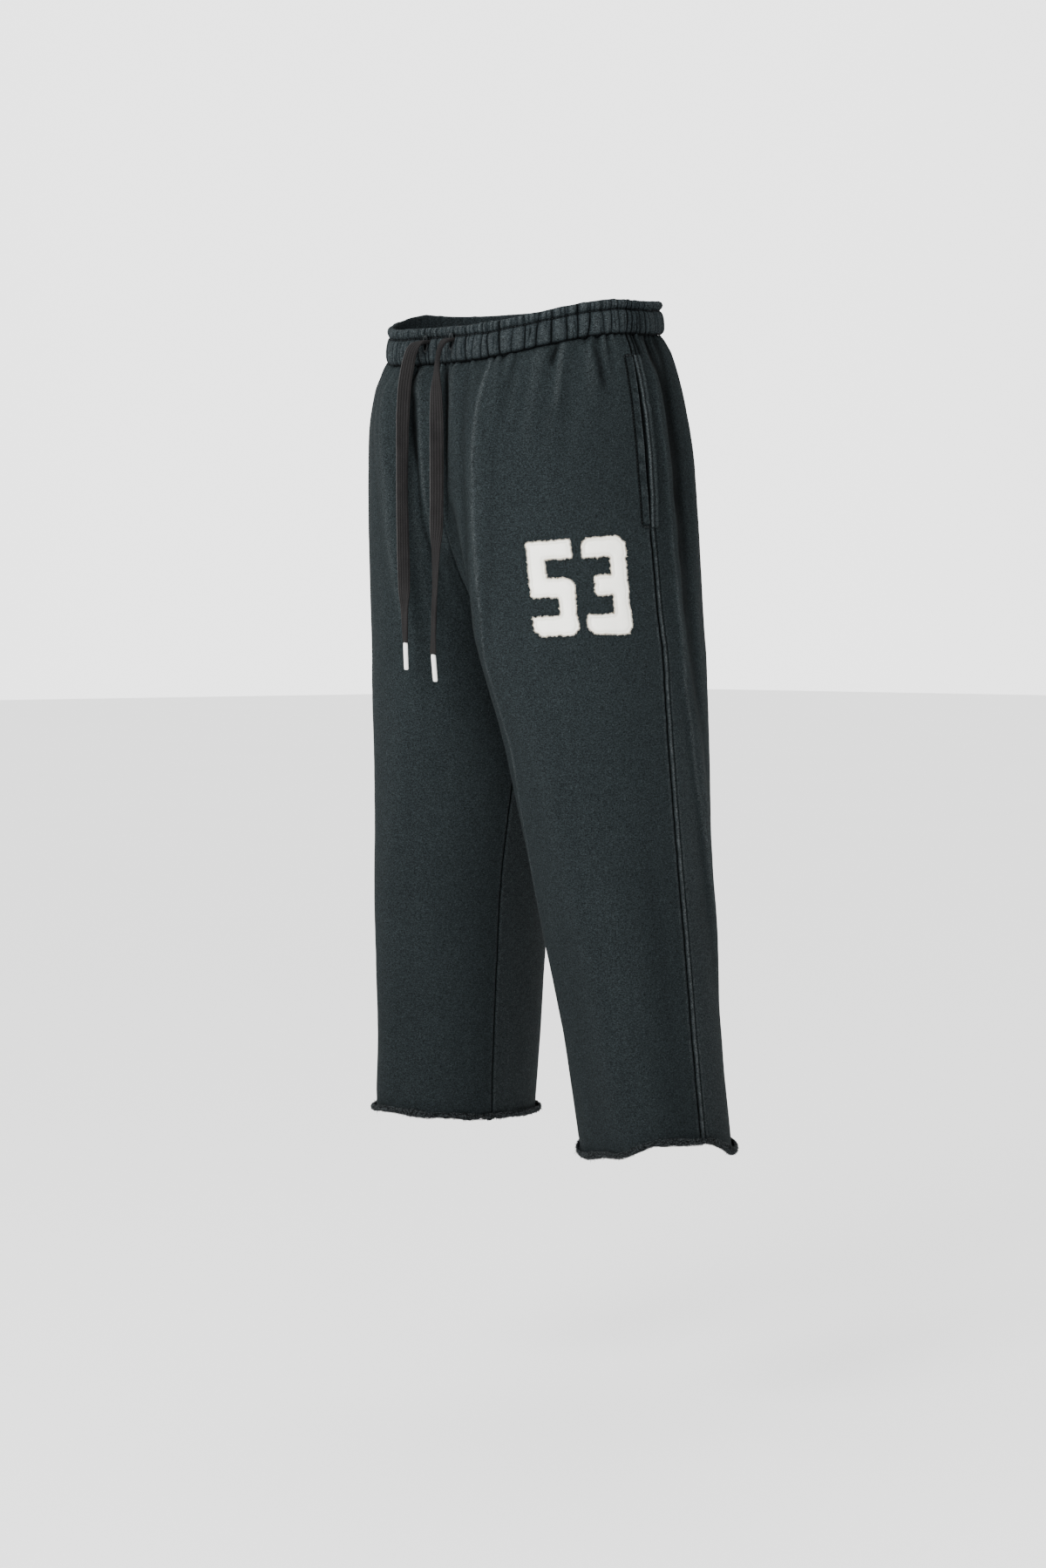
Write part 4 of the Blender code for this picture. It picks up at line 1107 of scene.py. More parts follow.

# Relief and wear along the side seam on each half, and along the inner seams on both. A bump lies round
# its place, and an edge reaches from the seam to its place, in millimetres. Each has its width, height
# and wear, and the last number is the width over which an edge rises from the seam. Wear above zero is
# paler worn cloth; below zero it is painted shade in grooves, along stitched lines and in the open
# pocket mouth.
SeamLine = namedtuple("SeamLine", "zone shape place width height wear rise", defaults=(0,))
SEAM_LINES = {
    "front": (
        SeamLine("mouth", "edge", MOUTH_STITCH + 0.6, 1.6, 0.9, 0, 0.8),
        SeamLine("gape", "edge", 8, 8, 0.4, 0),
        SeamLine("mouth", "bump", MOUTH_STITCH + GROOVE, 2.0, -1.2, 0),
        SeamLine("mouth", "bump", MOUTH_STITCH + GROOVE, 1.7, 0, -1.5),
        SeamLine("mouth", "bump", 0.5, 2.0, 0, 0.34),
        SeamLine("tack", "edge", MOUTH_STITCH + 1, 1, 0, -1.3),
        SeamLine("sewn", "edge", 1.5, 1.5, -0.9, 0),
        SeamLine("sewn", "edge", 1.82, 1.4, 0, -1.4),
        SeamLine("broken", "bump", 3.4, 2.0, 0, 0.30),
    ),
    "back": (
        SeamLine("gape", "edge", MOUTH_GAPE + 4, 3, -HOLLOW, 0),
        SeamLine("open", "edge", MOUTH_GAPE + 1, 1, 0, -1.0),
        SeamLine("mouth", "edge", 2, 2, -0.7, 0),
        SeamLine("sewn", "edge", TOPSTITCH + GROOVE, 1.5, 1.0, 0, 0.9),
        SeamLine("sewn", "bump", TOPSTITCH + 0.6, 1.6, -0.7, 0),
        SeamLine("sewn", "bump", TOPSTITCH + 0.4, 1.7, 0, -1.4),
        SeamLine("sewn", "edge", 0.9, 0.9, 0, -1.0),
        SeamLine("broken", "bump", 2.6, 2.3, 0, 1.0),
        SeamLine("below", "bump", TOPSTITCH + 3.4, 2.2, 0, 0.16),
    ),
    "inner": (
        SeamLine("all", "edge", 1.7, 1.7, -1.1, 0),
        SeamLine("inseam", "edge", 1.32, 1.1, 0, -1.2),
        SeamLine("all", "bump", 3.4, 3.2, 0.35, 0),
        SeamLine("all", "bump", 2.8, 2.6, 0, 0.10),
    ),
}


def seam_relief(lines, distance, zones):
    """Height, paler wear and darker painted shade that a seam's lines give at a distance from it."""
    d = distance / MM
    height = np.zeros(d.shape)
    wear = np.zeros(d.shape)
    for line in lines:
        bump = line.shape == "bump"
        profile = bump_at(d, line.place, line.width) if bump else smooth((line.place - d) / line.width)
        if line.rise:
            profile = profile * smooth(d / line.rise)
        height += zones[line.zone] * profile * line.height * MM
        wear += zones[line.zone] * profile * line.wear
    return height, wear


def mouth_gape(drop):
    """How open the pocket mouth is, from 0 at its ends to 1."""
    return np.sin(math.pi * np.clip((drop - POCKET_TOP) / POCKET_LENGTH, 0, 1)) ** 0.7


def side_zones(half, drop):
    """Shares of the rows that each kind of seam line takes up."""
    mouth = smooth((drop - POCKET_TOP) / (5 * MM)) * smooth((POCKET_FOOT - drop) / (5 * MM))
    above = smooth((POCKET_TOP + 1 * MM - drop) / (3 * MM))
    below = smooth((drop - POCKET_FOOT + 1 * MM) / (4 * MM))
    gape = mouth * mouth_gape(drop)
    broken = 0.72 + 0.5 * wavy(drop, 3.1, 36)
    return {
        "all": 1.0,
        "mouth": mouth,
        "gape": gape,
        "open": gape > 0.1,
        "sewn": above + below,
        "below": below,
        "broken": (below + above * (0.12 if half == "back" else 0)) * broken,
        "tack": sum(bump_at(drop, end, 1.8 * MM) for end in (POCKET_TOP + 1 * MM, POCKET_FOOT - 1 * MM)),
        "inseam": smooth((drop - CROTCH_DEPTH) / (20 * MM)),
    }


def ripple(drop, size, distance, reach, seed):
    """Unevenness along a seam that dies away from it, with sizes in millimetres."""
    return noise1(drop / (size * MM), seed) * np.exp(-((distance / (reach * MM)) ** 2))


class Panel:
    """One leg panel: its fine outer and inner grids and what is read from them."""

    def __init__(self, leg, half):
        self.leg = leg
        self.half = half
        u, drop = np.meshgrid(PANEL_U, np.append(PANEL_DROPS, CURL_DROP))
        p, n = cloth_surface(leg, half, u, drop)
        plain = plain_surface(leg, half, u, drop)
        from_side = arc_along(plain, axis=1)
        from_inner = from_side[:, -1:] - from_side
        height, wear = crest_relief(leg, half, u, drop, row_length(leg, half, drop))
        height += folds_height(FINE_FOLDS, leg, half, u, drop, smooth, FOLD_SWAY)
        height += pucker_height(leg, half, u, drop)
        for tall, size, stretch, seed in SWELLS:
            height += tall * MM * noise3(plain * (1, 1, stretch), size * MM, seed)
        # paler on ridges, as worn cloth, and painted shade in hollows
        relief_share = np.clip(cavity(height + fold_height(leg, half, u, drop)) / WORN_HEIGHT, -1, 1)
        wear += np.where(relief_share > 0, RIDGE_WEAR, HOLLOW_SHADE) * relief_share
        zones = side_zones(half, drop)
        for lines, distance in ((half, from_side), ("inner", from_inner)):
            seam_height, seam_wear = seam_relief(SEAM_LINES[lines], distance, zones)
            height += seam_height
            wear += seam_wear
        height += SEAM_RIPPLE * zones["sewn"] * ripple(drop, 6.5, from_side, 9, 31)
        height += INNER_RIPPLE * ripple(drop, 7.5, from_inner, 8, 35)
        if half == "front":
            crimp = wavy((drop + 0.5 * from_side), 4.2, 33) * bump_at(from_side, 5 * MM, 6 * MM)
            height += zones["mouth"] * CRIMP * crimp
            # painted highlight on the crimp's bumps and painted shade in its dips
            wear += zones["mouth"] * 0.34 * np.clip(crimp, -1, 1)
        else:
            # The back is paler down the leg, and darker over the seat with painted shade.
            wear += 0.16 * smooth((drop - 280 * MM) / (220 * MM))
            wear -= 0.26 * smooth((330 * MM - drop) / (220 * MM))
        wear += HEM_WEAR * smooth((drop - SIDE_LENGTH + 12 * MM) / (10 * MM))
        wear -= TOP_SHADE * smooth(1 - drop / (2.2 * MM))
        outer = p + n * height[..., None]
        opened = zones["gape"] * (half == "front")
        along = unit(np.gradient(outer, axis=1))
        outer = outer + along * (MOUTH_SHIFT * opened * smooth(1 - from_side / (9 * MM)))[..., None]
        closed = smooth(1 - from_side / (1.6 * MM)) * (1 - np.minimum(opened * 4, 1))
        allowance = ALLOWANCE * MM * np.maximum(closed, smooth(1 - from_inner / (1.6 * MM)))
        inner = outer - n * (CLOTH + allowance)[..., None]
        self.add_curl(outer, inner, n[-1], wear, np.minimum(from_side, from_inner)[-1], drop[:, 0])
        self.part_at_seams()
        self.across = np.concatenate([from_side, np.repeat(from_side[-1:], len(CURL_TURNS), 0)])

    def add_curl(self, outer, inner, out, wear, to_seam, drops):
        """Rows in which the raw edge rolls out and up, with the back of the cloth outside."""
        down = unit(outer[-1] - outer[-3])
        down = unit(down - out * np.sum(down * out, -1, keepdims=True))
        reach = outer[-1, :, :2] @ np.array([1.0, 1.3]) + (3 if self.half == "back" else 0)

        def sway(size, seed, shift=0.0):
            return noise1(reach / (size * MM) + shift, seed)

        hollow = (CURL_RADIUS + 0.5 * sway(16, 41) + 0.35 * sway(5, 42)) * MM
        hollow = hollow * (0.66 + 0.34 * smooth(to_seam / (7 * MM)))
        turned = 1.0 + 0.16 * sway(23, 43) + 0.08 * sway(6, 44)
        centre = outer[-1] + out * hollow[:, None]
        radius = hollow + CLOTH * 0.92
        rows = []
        for turn in CURL_TURNS:
            rise = -out * np.cos(turn * turned)[:, None] + down * np.sin(turn * turned)[:, None]
            twist = CURL_TWIST * sway(3.2, 45, turn * 1.1) + 0.4 * sway(1.7, 46, -turn * 2)
            twist = twist * MM * min(turn, 1)
            rows.append([centre + rise * far[:, None] for far in (hollow, radius + twist)])
        curl_outer, curl_inner = np.moveaxis(np.array(rows), 1, 0)
        self.outer = np.concatenate([outer, curl_outer])
        self.inner = np.concatenate([inner, curl_inner])
        self.wear = np.concatenate([wear, np.full((len(CURL_TURNS), wear.shape[1]), CURL_WEAR)])
        self.rows = np.concatenate([drops, drops[-1] + CURL_ROW * np.arange(1, len(CURL_TURNS) + 1)])
        self.curl = np.concatenate([centre, out, down, radius[:, None]], axis=1)

    def part_at_seams(self):
        """Stands the edges off the seams' planes; in the rolled edge they meet."""
        sign = SIDE_SIGN[self.leg]
        away = -1 if self.half == "front" else 1
        round_leg = section_at(self.leg, np.minimum(self.rows, SIDE_LENGTH)).round_leg
        gap = np.where(np.arange(len(self.rows)) > LAST_ROW, -CURL_OVERLAP, SEAM_GAP / 2)
        for grid in (self.outer, self.inner):
            grid[:, 0, 1] += away * gap
            grid[:, -1, 1] += away * gap * round_leg
            grid[..., 0] = sign * np.maximum(sign * grid[..., 0], SEAM_GAP / 2)

    def read(self, u, drop):
        """Point on the outside of the cloth at any u and drop."""
        j = np.interp(u, PANEL_U, np.arange(len(PANEL_U)))
        i = np.interp(drop, self.rows[: LAST_ROW + 1], np.arange(LAST_ROW + 1))
        i0 = np.clip(i.astype(int), 0, LAST_ROW - 1)
        j0 = np.clip(j.astype(int), 0, len(PANEL_U) - 2)
        a = (i - i0)[..., None]
        b = (j - j0)[..., None]
        top = self.outer[i0, j0] * (1 - b) + self.outer[i0, j0 + 1] * b
        foot = self.outer[i0 + 1, j0] * (1 - b) + self.outer[i0 + 1, j0 + 1] * b
        return top * (1 - a) + foot * a

    def line(self, distance, first, last, lift=0.05 * MM, step=2.0 * MM):
        """Points and normals of a line down the cloth, at a distance from the side seam."""
        drop = np.arange(first, last, step)
        u = np.linspace(0, 1, 400)
        arc = arc_along(plain_surface(self.leg, self.half, u[None], drop[:, None]), axis=1)
        at = np.array([np.interp(distance, row, u) for row in arc])
        n = outward(self.leg, self.half, at, drop)
        return self.read(at, drop) + n * lift, n

    def add(self):
        flip = (self.leg == "left") != (self.half == "front")
        down = np.repeat(self.rows[:, None], len(PANEL_U), 1)
        values = {"wear": self.wear, "across": self.across, "down": down}
        name = f"{self.half}_{self.leg}"
        return shell(f"{name}_cloth", self.outer, self.inner, flip, values, name)


PANELS = {(leg, half): Panel(leg, half) for leg in LEGS for half in ("front", "back")}
CLOTHS = {key: panel.add() for key, panel in PANELS.items()}

# Section of an overlocked allowance in millimetres: sideways from the seam, and inwards.
SEAM_COVER = ((-3.2, 0.3), (-2.6, 0.05), (2.6, 0.05), (3.2, 0.3), (2.6, 0.95), (-2.6, 0.95))
COVER_NEAR = {0: 4, -1: -5}  # the column that shows which way is sideways, by the seam's own column


def add_seam_cover(name, first, second, column, rows):
    """Overlocked seam allowance: a flat strip inside the garment along the seam between two panels."""
    near = COVER_NEAR[column]
    a, b = first.inner[rows, column], second.inner[rows, column]
    inward = unit(a - first.outer[rows, column] + b - second.outer[rows, column])
    side = unit(second.inner[rows, near] - first.inner[rows, near])
    wave = 1 + 0.06 * noise1(first.rows[rows] / (5 * MM), 37)
    middle = (a + b) / 2
    section = [
        middle + side * (x * MM * wave)[:, None] + inward * (depth * MM) for x, depth in SEAM_COVER
    ]
    points = np.stack(section, axis=1)
    shape = points.shape[:2]
    across = np.broadcast_to(np.arange(shape[1]) * MM, shape)
    down = np.repeat(first.rows[rows][:, None], shape[1], 1)
    values = {"wear": np.full(shape, 0.1), "across": across, "down": down}
    return mesh_object(name, points.reshape(-1, 3), tube_faces(*shape), [FLEECE_BACK], values)


SEAM_COVERS = {key: [] for key in PANELS}
for leg in LEGS:
    pair = PANELS[leg, "front"], PANELS[leg, "back"]
    for name, column, first in (("side", 0, 0), ("inner", -1, CROTCH_ROW - 1)):
        strip = add_seam_cover(f"{name}_seam_{leg}_overlock", *pair, column, slice(first, LAST_ROW + 1))
        SEAM_COVERS[leg, "back"].append(strip)
for half in ("front", "back"):
    pair = PANELS["right", half], PANELS["left", half]
    strip = add_seam_cover(f"centre_{half}_seam_overlock", *pair, -1, slice(0, CROTCH_ROW + 2))
    SEAM_COVERS["left", half].append(strip)


# ---------------------------------------------------------------- waistband
# Height as a share of the band, how far out in millimetres its gathers and its grooves stand, and how
# much the finer gathers of the top ruffle show there.
BAND_PROFILE = np.array((
    (0.00, 0.6, 0.2, 0), (0.04, 2.0, 0.6, 0), (0.10, 3.2, 1.2, 0), (0.20, 3.9, 1.6, 0),
    (0.34, 4.1, 1.7, 0),
    (0.50, 3.9, 1.6, 0), (0.60, 3.3, 1.2, 0.1), (0.67, 2.0, 0.6, 0.3), (0.72, 0.3, -0.3, 0.5),
    (0.76, 1.6, 0.5, 0.8), (0.82, 2.9, 1.0, 1), (0.89, 3.5, 1.2, 1), (0.95, 3.0, 1.0, 1),
    (0.985, 1.9, 0.5, 1), (1.00, 0.4, -0.6, 1),
), float)
BAND_ROWS = np.array(
    [0, 0.03, 0.07, 0.12, 0.18, 0.26, 0.34, 0.42, 0.5, 0.57, 0.63, 0.67, 0.70, 0.72, 0.74, 0.77, 0.81]
    + [0.85, 0.89, 0.93, 0.96, 0.98, 0.992, 1.0]
)
# The band's inside: height share, and depth in millimetres.
BAND_INNER = ((1.0, 1.4), (0.97, 2.0), (0.9, 2.3), (0.75, 2.4), (0.5, 2.4), (0.25, 2.4), (0.0, 2.2))
# The waist seam's allowance inside the panels' top edges: depth and drop in millimetres.
BAND_LIP = ((4.3, 0.0), (4.8, 3.5), (4.7, 7.0), (4.0, 7.2), (3.7, 3.5), (3.2, 0.0))
BAND_STEPS = 18  # points on each gather
BAND_LEAN = 2.0 * MM
BAND_SEAM = 0.72  # height share of its stitched row
BACK_WAIST = 0.113  # how far back the waist seam reaches
EYELETS = ((21.0, -5.0), (-17.0, -5.0))  # x and z of the two buttonholes, in millimetres
EYELET_WIDE = 3.2 * MM  # half the width and the height of the dent that the cord draws round each
EYELET_TALL = 7.5 * MM
EYELET_DENT = 2.2 * MM
# How much taller the gathered band stands, in millimetres, by its share of the way round.
BAND_RISE = np.array(
    (
        (0.0, 0.0), (0.12, 0.4), (0.25, 2.4), (0.38, 2.8), (0.47, 5.0), (0.56, 2.0), (0.66, 0.0),
        (1.0, 0.0),
    )
).T
FAR = 9  # for the back of the band, which no buttonhole is near
BandRing = namedtuple("BandRing", "point normal swell lobe place dark")


def on_waist(share):
    """Points and level normals of the waist seam at shares of the way round."""
    at = np.mod(share, 1) * WAIST_ARC[-1]
    p = read_rows(at, WAIST_ARC, WAIST)
    beside = (np.mod(at + d, WAIST_ARC[-1]) for d in (-6 * MM, 6 * MM))
    before, after = (read_rows(arc, WAIST_ARC, WAIST) for arc in beside)
    along = after - before
    n = unit(np.stack([-along[..., 1], along[..., 0], 0 * along[..., 0]], -1))
    return p, np.where(np.sum(n * p, -1, keepdims=True) < 0, -n, n)


def gather_edge(which, height):
    """Where the groove before a gather lies, in gathers, at a height share of the band."""
    which = np.mod(which, BAND_GATHERS)
    lean = 0.46 * hashed(which, 52) * (height - 0.5) + 0.5 * hashed(which, 56) * (height - 0.5) ** 2
    return 0.24 * hashed(which, 51) + lean


def band_ring(height):
    """Gathers round the band at a height share."""
    step = np.arange(BAND_GATHERS * BAND_STEPS)
    which = step // BAND_STEPS
    phi = step % BAND_STEPS / BAND_STEPS
    low = which + gather_edge(which, height)
    high = which + 1 + gather_edge(which + 1, height)
    place = low + (high - low) * phi
    p, n = on_waist(gather_share(place))
    _, ridge, valley, fine = through_rows(BAND_PROFILE[:, 0], BAND_PROFILE, np.array(height))
    lobe = (1 - np.abs(2 * phi - 1) ** 2.4) ** 0.62
    following = np.mod(which + 1, BAND_GATHERS)
    weight = np.abs(hashed(which, 53)) * (1 - phi) + np.abs(hashed(following, 53)) * phi
    deep = 0.55 + 0.85 * weight
    tall = 1 + 0.16 * hashed(which, 54) * lobe
    swell = ridge * tall - (ridge - valley) * deep * (1 - lobe)
    # painted shade in the grooves between gathers, in their creases and in the ruffle
    dark = 1.25 * deep * (1 - lobe) ** 2
    for seed in (64, 67):  # two sharper creases that some gathers have
        middle = 0.5 + 0.24 * hashed(which, seed) + 0.35 * hashed(which, seed + 1) * (height - 0.4)
        low = 0.55 * hashed(which, seed + 2)
        window = smooth((height - low) * 7) * smooth((low + 0.55 - height) * 7)
        crease = np.exp(-(((phi - middle) / 0.065) ** 2)) * window * (hashed(which, seed + 3) > -0.25)
        swell -= crease * 0.95 * (1 - fine) * ridge / 4
        dark = dark + 0.6 * crease * (1 - fine)
    small = np.abs(np.sin(math.pi * (place * 2 + 0.6 * noise1(place * 0.7, 55)))) ** 0.55
    swell += fine * (small - 0.7) * 1.7
    dark = dark * (1 - 0.4 * fine) + 1.15 * fine * (1 - small) ** 1.3
    uneven = 0.35 * noise1(place * 1.7 + 31, 58) + 0.35 * noise1(place * 0.45 + height * 3, 59)
    swell += uneven * ridge / 4
    return BandRing(p, n, swell, lobe, place, dark)


def band_level(ring, height):
    """How far above the waist seam the band is at a height share."""
    backward = np.clip(ring.point[:, 1] / BACK_WAIST, 0, 1)
    tall = BAND_HEIGHT + (BAND_HEIGHT_BACK - BAND_HEIGHT) * backward
    rise = np.interp(gather_share(ring.place), *BAND_RISE) * MM
    return BAND_CLEAR + height * (tall + rise - BAND_CLEAR)


def outer_band_row(height):
    """Points, wear with painted shade and highlight, and place of a row outside the band."""
    at = band_ring(height)
    points = at.point + at.normal * (at.swell * MM - BAND_LEAN * height**2)[:, None]
    ragged = 0.55 * MM * noise1(at.place * 1.3, 61) * smooth((height - 0.8) * 5)
    points[:, 2] += band_level(at, height) + ragged
    points[:, 2] += 0.5 * MM * noise1(at.place * 0.8, 62) * bump_at(height, BAND_SEAM, 0.2)
    # paler gather tops and top ruffle: worn cloth and painted highlight; darker at the stitched row:
    # painted shade in its groove
    wear = 0.24 * at.lobe + 0.20 * smooth((height - 0.76) * 9) - 1.2 * bump_at(height, 0.718, 0.045)
    # painted shade in the gathers' grooves and along the band's foot
    wear = wear - 0.95 * at.dark - 1.3 * bump_at(height, 0, 0.1)
    # painted shade on the band's back just before the left side seam
    back_shade = smooth((np.mod(gather_share(at.place), 1) - 0.955) / 0.025)
    wear = wear - back_shade * (0.22 + 0.7 * (1 - at.lobe))
    for x, z in EYELETS:
        near = np.hypot((points[:, 0] - x * MM) / EYELET_WIDE, (points[:, 2] - z * MM) / EYELET_TALL)
        near = np.where(points[:, 1] < 0, near, FAR)
        points += at.normal * (-EYELET_DENT * smooth(1.25 - near))[:, None]
        # painted shade in the dent round each buttonhole
        wear = wear - 0.9 * smooth((1.15 - near) * 2)
    return points, wear, at.place


def inner_band_row(height, depth, fall=None):
    """A row inside the band, or of its allowance where it has a fall below the waist seam."""
    at = band_ring(height)
    if fall is None:
        inside = depth * MM + 0.5 * MM * (at.lobe - 1) + BAND_LEAN * height**2
        points = at.point - at.normal * inside[:, None]
        points[:, 2] += band_level(at, height)
    else:
        points = at.point - at.normal * (depth * MM)
        points[:, 2] += BAND_CLEAR - fall * MM
    return points, 0.1 * at.lobe, at.place


def add_waistband():
    made = [outer_band_row(height) for height in BAND_ROWS]
    made += [inner_band_row(height, depth) for height, depth in BAND_INNER]
    made += [inner_band_row(0.0, depth, fall) for depth, fall in BAND_LIP]
    rings, wears, places = (np.array(part) for part in zip(*made))
    rows, columns = wears.shape
    j = np.arange(columns)
    k = (j + 1) % columns
    last = (rows - 1) * columns
    foot = np.stack([j, k, last + k, last + j], -1)
    faces = np.concatenate([grid_faces(rows, columns, wrap=True, flip=True), foot]).tolist()
    values = {"wear": wears, "across": places * WAIST_ARC[-1] / BAND_GATHERS, "down": -rings[..., 2]}
    points = rings.reshape(-1, 3)
    finishes = [BAND_FLEECE]
    name = "waistband"
    return mesh_object(f"{name}_cloth", points, faces, finishes, values, None, name), rings


BAND, BAND_RINGS = add_waistband()


def band_at(height):
    """The band's row nearest to a height share."""
    return BAND_RINGS[int(np.argmin(np.abs(BAND_ROWS - height)))]


def band_line(height, lift):
    """Closed line of points and normals round the band at a height share."""
    ring = band_at(height)
    ring = np.concatenate([ring, ring[:1]])
    n = unit(np.stack([ring[:, 0] / 1.7, ring[:, 1], 0 * ring[:, 0]], -1))
    return ring + n * lift, n


# ---------------------------------------------------------------- pocket facings
# The strip's section where it dips into the open mouth: how far in front of its rolled edge it is, and
# how high over the cloth, in millimetres.
DIPS = ((2.4, -2.7), (2.1, -2.5), (1.8, -2.1), (1.4, -1.5), (1.0, -0.9), (0.6, -0.2), (0.3, 0.3))
FACING_ROWS = 150
FACING_STITCH = 4.6 * MM  # from its rolled edge


def facing_step(place):
    """Close together at both edges, in millimetres."""
    return 0.35 + 0.55 * min(place / 3, (FACING_WIDTH / MM - place) / 3, 1)


def add_facing(leg):
    """Strip that dips into a pocket mouth from behind, with a rolled edge and one sewn line."""
    share = spaced(FACING_WIDTH / MM, facing_step)
    drops = np.linspace(POCKET_TOP + 0.5 * MM, POCKET_FOOT - 0.5 * MM, FACING_ROWS)
    along = (drops - POCKET_TOP) / POCKET_LENGTH
    taper = FACING_END + (1 - FACING_END) * np.sin(math.pi * (FACING_CUT + (1 - 2 * FACING_CUT) * along))
    wide = (FACING_WIDTH * taper)[:, None]
    gape = mouth_gape(drops)[:, None]
    front = MOUTH_GAPE * MM * gape
    ahead, sag = np.array(DIPS).T * MM
    distance = np.concatenate([front - ahead * gape, front + share * (wide - front)], axis=1)
    drop = np.repeat(drops[:, None], distance.shape[1], 1)
    u = np.maximum(distance, 0) / wide * u_at(leg, "back", drops[:, None], wide)
    n = outward(leg, "back", u, drop)
    sunk = HOLLOW * MM * gape * smooth((MOUTH_GAPE + 4 - distance / MM) / 3)
    base = PANELS[leg, "back"].read(u, drop) + n * sunk[..., None]
    inner = distance - front
    ends = np.minimum(drop - drops[0], drops[-1] - drop)
    body = FACING_THICKNESS * smooth(np.minimum(wide - distance, ends) / (1.3 * MM)) ** 0.6
    lifted = 0.9 * MM * bump_at(inner, 1.4 * MM, 3.0 * MM) * gape
    groove = -0.75 * MM * bump_at(inner, FACING_STITCH, 1.3 * MM)
    waves = 0.3 * MM * wavy(drop, 7, 71) + 0.2 * MM * noise1(drop / (3 * MM) + distance / (3 * MM), 72)
    edge = 0.45 * smooth(inner / (0.9 * MM)) + 0.55
    level = LYING_GAP + (body + lifted + groove + waves + 0.3 * MM) * edge
    count = len(DIPS)
    start = level[:, count : count + 1]
    level[:, :count] = np.minimum(start + (sag - 0.3 * MM) * gape, start)
    top = base + n * level[..., None]
    under = np.where(inner > 0, LYING_GAP * 0.6, level - (0.3 + 0.6 * gape) * MM)
    low = base + n * np.minimum(under, level - 0.25 * MM)[..., None]
    # paler rolled edge and strip: worn cloth and painted highlight; darker along the sewn line and where
    # the strip dips into the mouth: painted shade
    wear = 0.75 * bump_at(inner, 1.5 * MM, 1.5 * MM) - 1.0 * bump_at(inner, FACING_STITCH, 0.9 * MM)
    wear += 0.30 * bump_at(inner, 7.0 * MM, 2.2 * MM) - 1.0 * smooth((0.6 * MM - inner) / (0.8 * MM))
    name = f"pocket_facing_{leg}"
    values = {"wear": wear, "across": distance, "down": drop}
    piece = shell(f"{name}_cloth", top, low, leg == "left", values, name)
    columns = np.arange(distance.shape[1])
    sewn_at = [np.interp(FACING_STITCH, row, columns) for row in inner]
    line = np.array([read_rows(at, columns, row) for at, row in zip(sewn_at, top)])
    facing = np.array([row[int(at)] for at, row in zip(sewn_at, n)])
    sewing = stitches(f"{name}_stitches", [(line + facing * 0.05 * MM, facing)], THREAD)


for leg in LEGS:
    add_facing(leg)

# ---------------------------------------------------------------- numerals
# Outlines of the two numerals, in cells from the top left corner, clockwise as read.
NUMERAL_OUTLINES = {
    "numeral_5": (
        (0, 0), (8, 0), (8, 3), (3, 3), (3, 6), (7, 6), (8, 7), (8, 14), (7, 15), (1, 15), (0, 14),
        (0, 12), (5, 12), (5, 9), (0, 9),
    ),
    "numeral_3": (
        (1, 0), (7, 0), (8, 1), (8, 14), (7, 15), (1, 15), (0, 14), (0, 12), (5, 12), (5, 9), (2, 9),
        (2, 6), (5, 6), (5, 3), (0, 3), (0, 1),
    ),
}
FELT_SPACING = 0.95 * MM
FELT_RIM = 0.7 * MM  # free of inner points
IN_MILLIMETRES = 1000
CORNER_ROUNDS = 40
SEWN_ROUNDS = 12
SEWN_IN = 2.4 * MM
SEWN_GROOVE = 2.7 * MM
FUZZ_RADIUS = 0.17 * MM


def on_numeral(left_edge, flat):
    """Points and normals on the thigh for places on a numeral."""
    drop = NUMERAL_CENTRE_DROP + flat[:, 1] - NUMERAL_HEIGHT / 2
    u = u_at("left", "front", drop, NUMERAL_FROM_SEAM - left_edge - flat[:, 0])
    return PANELS["left", "front"].read(u, drop), outward("left", "front", u, drop)


def out_of(line):
    """Directions out of a closed flat line that runs clockwise as read."""
    ahead = unit(np.roll(line, -1, axis=0) - np.roll(line, 1, axis=0))
    return np.stack([ahead[:, 1], -ahead[:, 0]], -1)


def outline_points(name, spacing, ragged, seed):
    """Evenly spaced points round a numeral in metres, its corners eased and its cut ragged."""
    corner = np.array(NUMERAL_OUTLINES[name], float) * (NUMERAL_CELL, NUMERAL_CELL_HEIGHT)
    points = []
    for a, b in zip(corner, np.roll(corner, -1, axis=0)):
        count = max(int(np.linalg.norm(b - a) / (0.25 * MM)), 1)
        points.append(a + (b - a) * (np.arange(count) / count)[:, None])
    points = eased_loop(np.concatenate(points), CORNER_ROUNDS)
    closed = np.concatenate([points, points[:1]])
    arc = arc_along(closed)
    at = np.arange(0, arc[-1] - spacing / 2, spacing)
    line = read_rows(at, arc, closed)
    out = out_of(line)
    wobble = 0.50 * MM * wavy(at, 12, seed) + 0.60 * MM * wavy(at, 3.0, seed + 2)
    wobble += 0.50 * MM * wavy(at, 1.4, seed + 1)
    return line + out * (wobble * ragged)[:, None], out


def inside_of(polygon, points):
    """Which points lie inside a polygon."""
    x, y = points[:, 0], points[:, 1]
    found = np.zeros(len(points), bool)
    for (x0, y0), (x1, y1) in zip(polygon, np.roll(polygon, -1, axis=0)):
        if y1 != y0:
            found ^= ((y0 > y) != (y1 > y)) & (x < x0 + (y - y0) * (x1 - x0) / (y1 - y0))
    return found


def edge_distance(polygon, points):
    """How far each point is from a polygon's edge."""
    best = np.full(len(points), np.inf)
    for a, b in zip(polygon, np.roll(polygon, -1, axis=0)):
        d = b - a
        t = np.clip(((points - a) @ d) / max(d @ d, 1e-18), 0, 1)
        best = np.minimum(best, np.linalg.norm(points - a - t[:, None] * d, axis=1))
    return best


